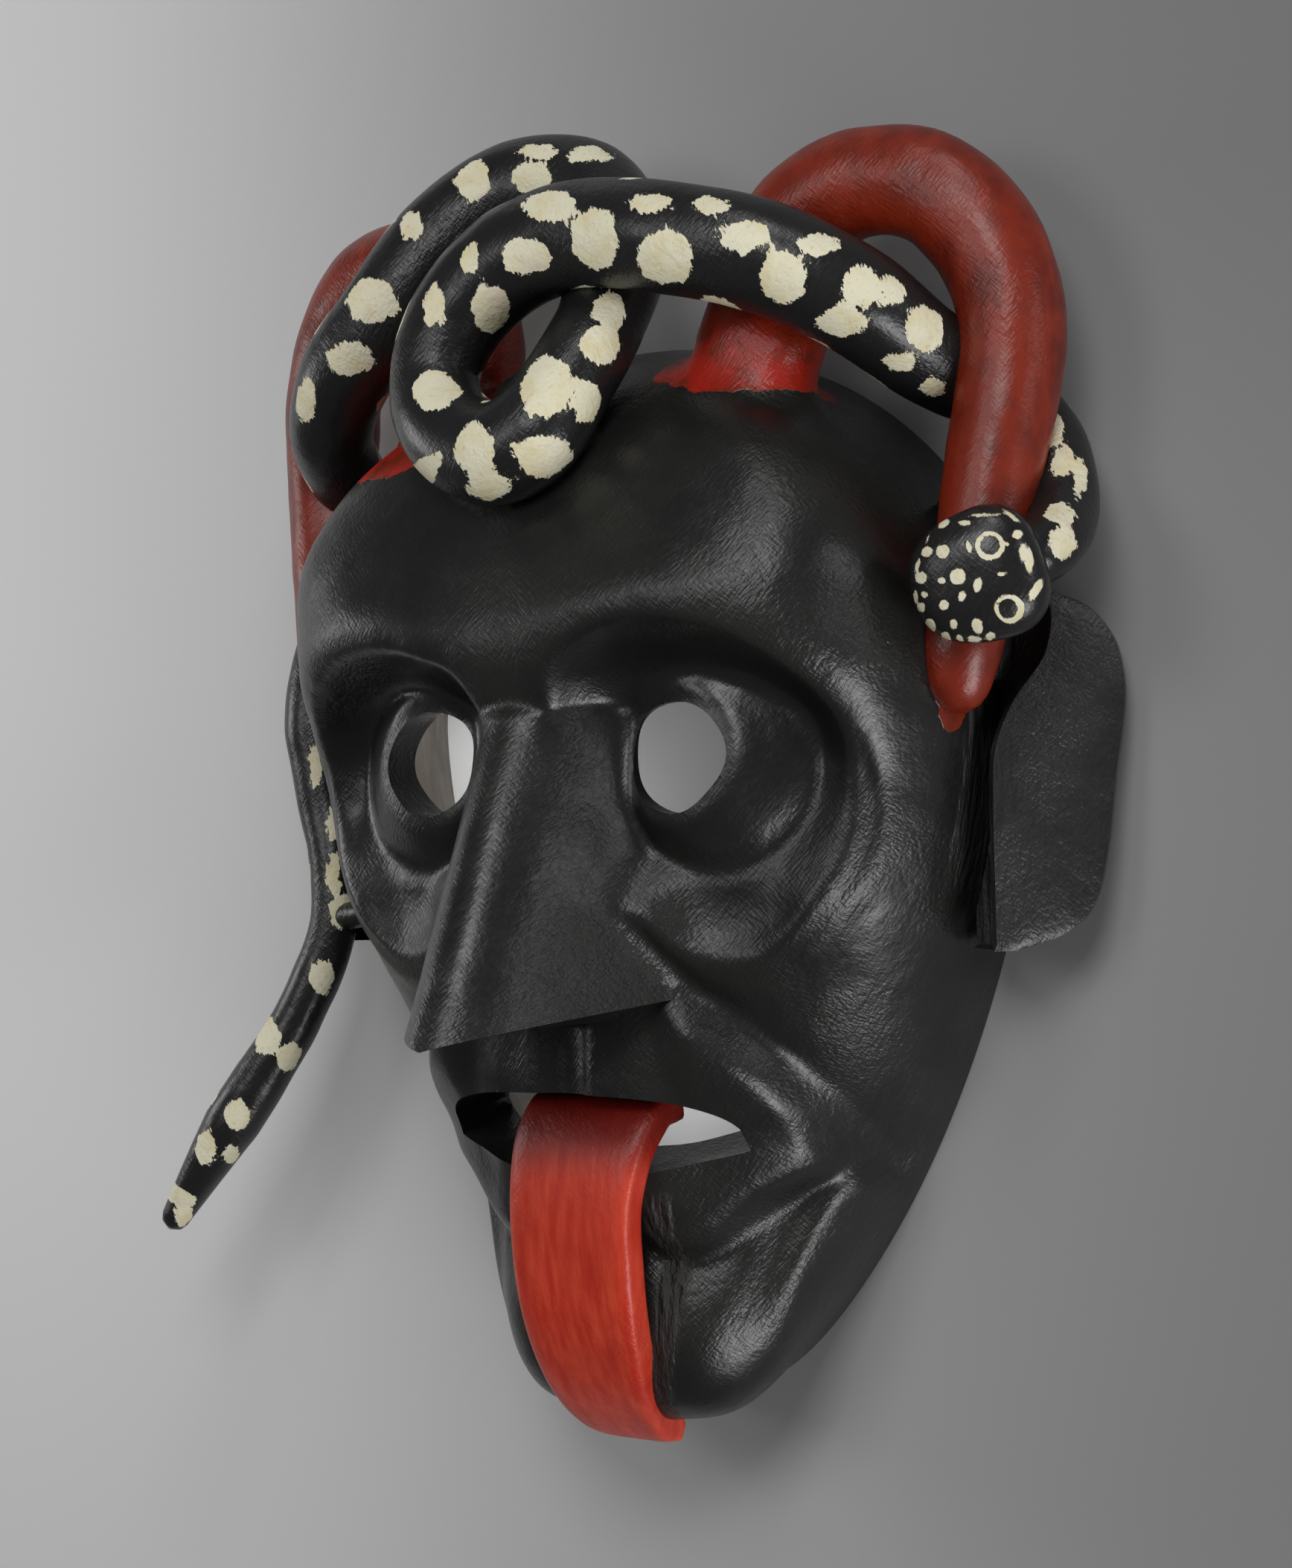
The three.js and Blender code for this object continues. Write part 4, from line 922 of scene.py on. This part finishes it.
def paint_layers(mesh):
    """Where each paint lies, worked out at the mesh's points and kept at the corners of its faces."""
    points = face_points(mesh)
    labels = np.repeat(labels_of(mesh), values_of(mesh.polygons, "loop_total", 1, np.int32))
    x, y, z = points.T

    # Red of the horns, which spills over onto the forehead
    off_horn = np.minimum(nearest_on(right_horn, points)[0], nearest_on(left_horn, points)[0])
    beyond_root = np.where(x > 0, RED_BEYOND_RIGHT_ROOT, RED_BEYOND_LEFT_ROOT)
    spill = mix(RED_BEYOND_HORN, beyond_root, smoothstep(40, 62, y)) - off_horn
    lowest = RED_LOWEST[0] + 0.3 * np.maximum(38 - x, 0)
    front_of_root = np.where((x > 0) & (x < 72) & (y > 60) & (y < RED_LOWEST[1]), y - lowest, 10)
    red = corner_values(mesh, np.clip(spill, NO_PAINT, 10))
    red = np.where(np.isin(labels, [SNAKE, HEAD, TONGUE, HOLLOW]), NO_PAINT, red)
    red = np.where(labels == HORN, 10, red)
    red = np.minimum(red, corner_values(mesh, front_of_root))
    near_root = smoothstep(112, 92, y) * smoothstep(70, 55, np.abs(x))
    add_attribute(mesh, "horn_paint", red)
    add_attribute(mesh, "horn_root", corner_values(mesh, near_root))
    add_attribute(mesh, "tongue_paint", (labels == TONGUE).astype(float))
    # Painted shade on the tongue, darkest up at the mouth under the upper lip
    add_attribute(mesh, "painted_tongue_shade", corner_values(mesh, smoothstep(-92, -79, y)))

    # Cream spots on the snake, by the place along it and the turn round it
    _, station = nearest_on(snake, points)
    away = points - snake.at[station]
    turned = np.arctan2((away * snake.other[station]).sum(1), (away * snake.side[station]).sum(1))
    ahead = snake.s[station] + (away * snake.ahead[station]).sum(1)
    on_snake = np.full(len(points), NO_PAINT)
    for spot in SNAKE_SPOTS + hidden_spots(snake, SNAKE_SPOTS, TO_CAMERA):
        step = (turned - math.radians(spot[1]) + math.pi) % (2 * math.pi) - math.pi
        on_snake = np.maximum(on_snake, in_spot(ahead - spot[0], step * snake.radius[station], spot))

    # Dots and eyes on its head
    u, v, w = ((points - HEAD_CENTRE) @ way for way in head_frame())
    on_head = np.full(len(points), NO_PAINT)
    for du, dv, long, short, angle in HEAD_DOTS:
        c, s = math.cos(math.radians(angle)), math.sin(math.radians(angle))
        spot = (0, 0, long * c, long * s, -short * s, short * c)
        on_head = np.maximum(on_head, in_spot(u - du, v - dv, spot))
    for du, dv in HEAD_EYES:
        off_eye = np.hypot(u - du, v - dv)
        on_head = np.maximum(on_head, HEAD_EYE_RING[1] - np.abs(off_eye - HEAD_EYE_RING[0]))
    on_head = np.where(w > 0, on_head, NO_PAINT)
    spots = np.where(labels == SNAKE, corner_values(mesh, on_snake), NO_PAINT)
    spots = np.where(labels == HEAD, corner_values(mesh, on_head), spots)
    add_attribute(mesh, "spot_paint", np.maximum(spots, NO_PAINT))
    add_attribute(mesh, "snake_paint", np.isin(labels, [SNAKE, HEAD]).astype(float))
    add_attribute(mesh, "head_paint", (labels == HEAD).astype(float))

    # Chisel marks in the channels beside the ears and along the tongue, and the bare hollow
    ax = np.abs(x)
    channel = smoothstep(82, 86, ax) * smoothstep(99, 95, ax)
    channel = channel * smoothstep(35, 29, z) * smoothstep(50, 44, np.abs(y))
    off_edge = np.abs(x - TONGUE_X - along(TONGUE_RIGHT, y) - 2)
    beside_tongue = smoothstep(4, 2, off_edge) * smoothstep(-92, -98, y) * smoothstep(-152, -140, y)
    rough = corner_values(mesh, np.maximum(channel, beside_tongue))
    add_attribute(mesh, "rough_carving", np.where(np.isin(labels, [FACE, EAR]), rough, 0))
    add_attribute(mesh, "bare_wood", (labels == HOLLOW).astype(float))
    mesh.attributes.remove(mesh.attributes["part"])


class Wire:
    """A node's output, with the shader's maths as operators."""

    def __init__(self, tree, socket):
        self.tree, self.socket = tree, socket

    def __add__(self, other):
        return node(self.tree, "Math", [self, other], operation="ADD")

    def __sub__(self, other):
        return node(self.tree, "Math", [self, other], operation="SUBTRACT")

    def __rsub__(self, other):
        return node(self.tree, "Math", [other, self], operation="SUBTRACT")

    def __mul__(self, other):
        return node(self.tree, "Math", [self, other], operation="MULTIPLY")

    __radd__, __rmul__ = __add__, __mul__

    def ramp(self, low, high):
        """Nought at low and one at high, smooth between."""
        inputs = {"Value": self, "From Min": low, "From Max": high}
        return node(self.tree, "MapRange", inputs, interpolation_type="SMOOTHSTEP")


def node(tree, kind, inputs=(), output=0, **settings):
    """Makes a node from its settings and its inputs, in a list or by name, and gives one output."""
    made = tree.nodes.new("ShaderNode" + kind)
    for key, value in settings.items():
        setattr(made, key, value)
    for key, value in inputs.items() if isinstance(inputs, dict) else enumerate(inputs):
        if isinstance(value, Wire):
            tree.links.new(value.socket, made.inputs[key])
        else:
            made.inputs[key].default_value = value
    return Wire(tree, made.outputs[output])


class Paint:
    """A material in the making, from the object's coordinates, the mesh's layers, noise and mixes."""

    def __init__(self, name):
        self.material = bpy.data.materials.new(name)
        self.material.use_nodes = True
        self.tree = self.material.node_tree
        self.shader = self.tree.nodes["Principled BSDF"]
        self.place = node(self.tree, "TexCoord", output="Object")

    def layer(self, name):
        return node(self.tree, "Attribute", output="Fac", attribute_type="GEOMETRY", attribute_name=name)

    def grain(self, size, detail=2, stretch=(1, 1, 1), shift=0.0, sharp=0.5, turn=0):
        """Noise from 0 to 1 with lumps of a size in millimetres, drawn out after a turn in degrees."""
        scale = tuple(1000 / (size * s) for s in stretch)
        place = self.place
        if turn:
            turned = (0, 0, math.radians(turn))
            place = node(self.tree, "Mapping", {"Vector": place, "Rotation": turned})
        moved = (shift, shift, shift)
        place = node(self.tree, "Mapping", {"Vector": place, "Scale": scale, "Location": moved})
        inputs = {"Vector": place, "Scale": 1.0, "Detail": detail, "Roughness": sharp}
        return node(self.tree, "TexNoise", inputs, output="Fac")

    def mix(self, factor, a, b):
        """Colours or numbers a to b by factor."""
        if isinstance(a, (Wire, float, int)) and isinstance(b, (float, int)):
            return node(self.tree, "Mix", {0: factor, 2: a, 3: b}, output=0, data_type="FLOAT")
        a, b = (c if isinstance(c, Wire) else (*c, 1) for c in (a, b))
        return node(self.tree, "Mix", {0: factor, 6: a, 7: b}, output=2, data_type="RGBA")

    def bump(self, *heights):
        """Bumps in millimetres, one upon the other."""
        normal = None
        for height in heights:
            inputs = {"Height": height, "Distance": MM}
            if normal:
                inputs["Normal"] = normal
            normal = node(self.tree, "Bump", inputs)
        return normal

    def finish(self, colour, roughness, normal):
        for key, wire in (("Base Color", colour), ("Roughness", roughness), ("Normal", normal)):
            self.tree.links.new(wire.socket, self.shader.inputs[key])
        return self.material


# Colours of the paints and of the bare wood
BLACK, WORN_BLACK, SNAKE_BLACK = (0.0095, 0.010, 0.0095), (0.016, 0.0165, 0.015), (0.012, 0.012, 0.0125)
HORN_RED, SMUDGED_RED = (0.23, 0.020, 0.006), (0.12, 0.011, 0.004)
THIN_RED, FRESH_RED = (0.31, 0.033, 0.011), (0.44, 0.020, 0.009)
TONGUE_RED, STREAK_RED = (0.56, 0.027, 0.010), (0.74, 0.075, 0.032)
# The darkest tongue red is painted shade, for the tongue's top under the upper lip
DEEP_RED, SHADED_TONGUE_RED = (0.44, 0.020, 0.008), (0.13, 0.003, 0.001)
CREAM, YELLOWED_CREAM = (0.84, 0.80, 0.60), (0.78, 0.70, 0.44)
ROSY_CREAM, SOILED_CREAM = (0.72, 0.56, 0.50), (0.35, 0.33, 0.25)
WOOD, PALE_WOOD, STAINED_WOOD = (0.15, 0.135, 0.12), (0.24, 0.22, 0.20), (0.10, 0.085, 0.07)
DULLNESS = {"carving": 0.62, "horn": 0.35, "tongue": 0.4, "cream": 0.62, "wood": 0.75}


def painted_wood():
    p = Paint("painted_wood")
    strokes = p.grain(0.6, 2, (1, 6, 2), 3, turn=38)
    cross_strokes = p.grain(0.6, 2, (1, 5, 2), 11, turn=-47)
    lumps = p.grain(9, 2, shift=5)
    fine = p.grain(0.7, 2, shift=17)
    broad = p.grain(28, 2, shift=23)

    # Black of the face, and the snake's own black
    black = p.mix(broad.ramp(0.35, 0.7), BLACK, WORN_BLACK)
    rough = broad * 0.14 + strokes * 0.2 + 0.15
    black = p.mix(p.layer("snake_paint"), black, SNAKE_BLACK)
    rough = p.mix(p.layer("rough_carving"), rough, DULLNESS["carving"])

    # Red of the horns, thin and dark in places, fresher round the root
    edge = (p.layer("horn_paint") + (p.grain(4, 3, shift=31) - 0.5) * 3.4).ramp(-0.15, 0.25)
    smudge = p.grain(14, 4, shift=41, sharp=0.6).ramp(0.38, 0.72)
    thin = p.grain(5, 3, (1, 3, 1), 47).ramp(0.45, 0.75) * 0.5
    fresh = p.layer("horn_root") * p.grain(9, 3, shift=53).ramp(0.36, 0.6)
    red = p.mix(smudge, HORN_RED, SMUDGED_RED)
    red = p.mix(thin, red, THIN_RED)
    red = p.mix(fresh, red, FRESH_RED)
    colour = p.mix(edge, black, red)
    rough = p.mix(edge, rough, DULLNESS["horn"])

    # Tongue, with painted shade darkening it towards the mouth where the upper lip overhangs it
    tongue_paint = p.layer("tongue_paint")
    streaks = p.grain(2.6, 4, (1, 7, 3), 61, 0.6)
    deep = p.grain(16, 3, shift=67).ramp(0.45, 0.8) * 0.5
    red = p.mix(streaks.ramp(0.3, 0.75), TONGUE_RED, STREAK_RED)
    red = p.mix(deep, red, DEEP_RED)
    # Painted shade: the tongue darkens towards the mouth
    red = p.mix(p.layer("painted_tongue_shade") * 0.9, red, SHADED_TONGUE_RED)
    colour = p.mix(tongue_paint, colour, red)
    rough = p.mix(tongue_paint, rough, DULLNESS["tongue"])

    # Cream spots with dry, broken edges, but neater on the head
    on_head = p.layer("head_paint")
    ragged = (p.grain(3, 2, (1, 2.2, 1), 71, turn=30) - 0.5) * 3
    ragged = ragged + (p.grain(0.7, 3, (1, 4, 1), 73, 0.65, turn=-25) - 0.5) * 2.6
    ragged = ragged * (1 - on_head * 0.72)
    cream_edge = (p.layer("spot_paint") + ragged + 0.1 - on_head * 0.1).ramp(-0.08, 0.12)
    cream = p.mix(p.grain(6, 3, shift=79).ramp(0.4, 0.75), CREAM, YELLOWED_CREAM)
    cream = p.mix(p.grain(11, 2, shift=83).ramp(0.58, 0.78) * 0.6, cream, ROSY_CREAM)
    cream = p.mix(p.grain(0.9, 3, shift=89).ramp(0.58, 0.75) * 0.35, cream, SOILED_CREAM)
    colour = p.mix(cream_edge, colour, cream)
    rough = p.mix(cream_edge, rough, DULLNESS["cream"])

    # Bare wood in the hollow
    bare = p.layer("bare_wood")
    wood = p.mix(p.grain(1.6, 4, (1, 14, 1), 97, 0.6).ramp(0.3, 0.7), WOOD, PALE_WOOD)
    wood = p.mix(p.grain(30, 3, shift=101).ramp(0.4, 0.75), wood, STAINED_WOOD)
    colour = p.mix(bare, colour, wood)
    rough = p.mix(bare, rough, DULLNESS["wood"])

    # What the tools and the brushes left, in millimetres
    chisel = p.layer("rough_carving") * (p.grain(2.2, 3, (1, 6, 1), 103) - 0.5) * 2.2
    gouged = p.grain(7, 1, (1, 2.5, 1), 107) * bare * 1.6
    brushed = (strokes + cross_strokes) * (broad.ramp(0.4, 0.6) * 0.12 + 0.06) * (1 - bare)
    paste = cream_edge * (p.grain(1.5, 2, shift=109) * 0.25 + 0.22)
    bristles = tongue_paint * streaks * 0.22
    normal = p.bump(lumps * 0.35 + chisel + gouged, brushed + fine * 0.03 + paste + bristles + edge * 0.1)
    return p.finish(colour, rough, normal)


def floor_paper():
    """Matt grey paper with painted shade, darker to the right and darkest at the top right."""
    p = Paint("floor_paper")
    across = node(p.tree, "SeparateXYZ", [p.place], output="X")
    upward = node(p.tree, "SeparateXYZ", [p.place], output="Y")
    # Painted shade that stands in for the lamps' falloff across the floor
    painted_shade_top_right = upward.ramp(-0.02, 0.22) * across.ramp(-0.24, 0.1) * 0.6
    shaded_paper_tone = p.mix(across.ramp(-0.24, 0.22), (0.8, 0.8, 0.8), (0.27, 0.27, 0.275))
    shaded_paper_tone = p.mix(painted_shade_top_right, shaded_paper_tone, (0.15, 0.15, 0.15))
    return p.finish(shaded_paper_tone, p.grain(3, 2) * 0.1 + 0.85, p.bump(p.grain(1.2, 2) * 0.02))


# The mask, carved as one piece
right_horn = Line(HORN_PATH, HORN_RADII, HORN_GRID[0])
left_horn = Line(mirrored(HORN_PATH, LEFT_HORN_SHARE), HORN_RADII, HORN_GRID[0])
snake = Line(SNAKE_PATH, SNAKE_RADII, SNAKE_GRID[0])

mask = dome("mask_carved", FACE_GRID, (0, 0, 0), 1, True, 0, FACE)
grown = [
    nose(),
    ear(1, 1),
    ear(-1, LEFT_EAR_SHARE),
    rod("horn_right", right_horn, HORN_GRID[1], HORN, HORN_WANDER, 11, HORN_DEPTH_SHARES),
    rod("horn_left", left_horn, HORN_GRID[1], HORN, HORN_WANDER, 21, HORN_DEPTH_SHARES),
    rod("snake", snake, SNAKE_GRID[1], SNAKE, SNAKE_WANDER, 31),
    snake_head(),
    web(STRUT),
    web(LOOP_WEB),
    web(TEMPLE_WEB),
    web(flipped(TEMPLE_WEB)),
]
join(mask, grown, "UNION")
walls = (WALL_SIDE, WALL_TOP, WALL_CHIN)
hollow = dome("hollow", HOLLOW_GRID, walls, HOLLOW_SHARE, False, BELOW_RIM, HOLLOW)
join(mask, [hollow, *eye_hole(1), *eye_hole(-1), mouth()], "DIFFERENCE")
join(mask, [tongue()], "UNION")
drop_slivers(mask)
ease(mask.data, ROOT_CREASES, CREASE_ROUNDS)
mask.data.set_sharp_from_angle(angle=SHARPEST)
if "sharp_face" in mask.data.attributes:
    mask.data.attributes.remove(mask.data.attributes["sharp_face"])

paint_layers(mask.data)
mask.data.materials.clear()
mask.data.materials.append(painted_wood())

# Stage
floor_mesh = bpy.data.meshes.new("floor")
floor_corners = [(x * FLOOR_HALF, y * FLOOR_HALF, 0) for x, y in ((-1, -1), (1, -1), (1, 1), (-1, 1))]
floor_mesh.from_pydata(floor_corners, [], [(0, 1, 2, 3)])
floor = bpy.data.objects.new("floor", floor_mesh)
bpy.context.scene.collection.objects.link(floor)
floor_mesh.materials.append(floor_paper())

right = np.array([math.cos(CAMERA_TURN), 0, -math.sin(CAMERA_TURN)])
up = np.cross(TO_CAMERA, right)
c, s = math.cos(CAMERA_ROLL), math.sin(CAMERA_ROLL)
right, up = right * c - up * s, up * c + right * s
eye = (AIM - ORIGIN) * MM + TO_CAMERA * CAMERA_DISTANCE
camera = bpy.data.objects.new("camera", bpy.data.cameras.new("camera"))
bpy.context.scene.collection.objects.link(camera)
axes = [[right[k], up[k], TO_CAMERA[k], eye[k]] for k in range(3)]
camera.matrix_world = Matrix(axes + [[0, 0, 0, 1]])
camera.data.sensor_fit = "AUTO"
camera.data.sensor_width = SENSOR
camera.data.lens = CAMERA_DISTANCE * 1000 / (CAMERA_SCALE * PHOTO_HEIGHT) * SENSOR
camera.data.clip_start = 0.01
bpy.context.scene.camera = camera

# Lamps, in metres, watts and degrees: place, aim, size, power and spread
STUDIO_LAMPS = {
    "top": ((0.4, 0.95, 0.5), (0, 0, 0.05), 0.3, 1.6, 180),
    "key": ((0.34, 0.48, 0.85), (0, 0, 0.05), 0.35, 2.9, 180),
    "overhead": ((-0.2, 0.24, 1.0), (0, 0, 0.05), 0.35, 1.4, 180),
    "side": ((0.88, -0.55, 0.23), (0, 0, 0.05), 0.42, 1.5, 100),
    "low_side": ((1.0, 0.3, 0.13), (0, 0, 0.05), 0.22, 0.16, 100),
    "left_wash": ((-0.75, 0.1, 0.3), (-0.55, 0, 0), 0.3, 1.3, 180),
    # Inside the hollow, over the floor that shows through the eye holes and the mouth
    "inner_right": ((0.002, 0.005, 0.042), (0.002, 0.005, 0), 0.05, 0.007, 180),
    "inner_left": ((-0.056, 0.004, 0.03), (-0.056, 0.004, 0), 0.03, 0.012, 180),
    "inner_mouth": ((0.004, -0.07, 0.026), (0.004, -0.07, 0), 0.04, 0.011, 180),
}
for name, (place, aim, size, watts, spread) in STUDIO_LAMPS.items():
    light = bpy.data.lights.new(name, "AREA")
    light.size, light.energy, light.spread = size, watts, math.radians(spread)
    lamp = bpy.data.objects.new(name, light)
    lamp.location = place
    lamp.rotation_euler = (Vector(aim) - Vector(place)).to_track_quat("-Z", "Y").to_euler()
    lamp.visible_camera = False
    bpy.context.scene.collection.objects.link(lamp)

world = bpy.data.worlds.new("studio")
world.use_nodes = True
world.node_tree.nodes["Background"].inputs["Color"].default_value = (0.1, 0.1, 0.1, 1)
bpy.context.scene.world = world
bpy.context.scene.view_settings.view_transform = "Standard"

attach(mask, "root")
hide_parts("mask")
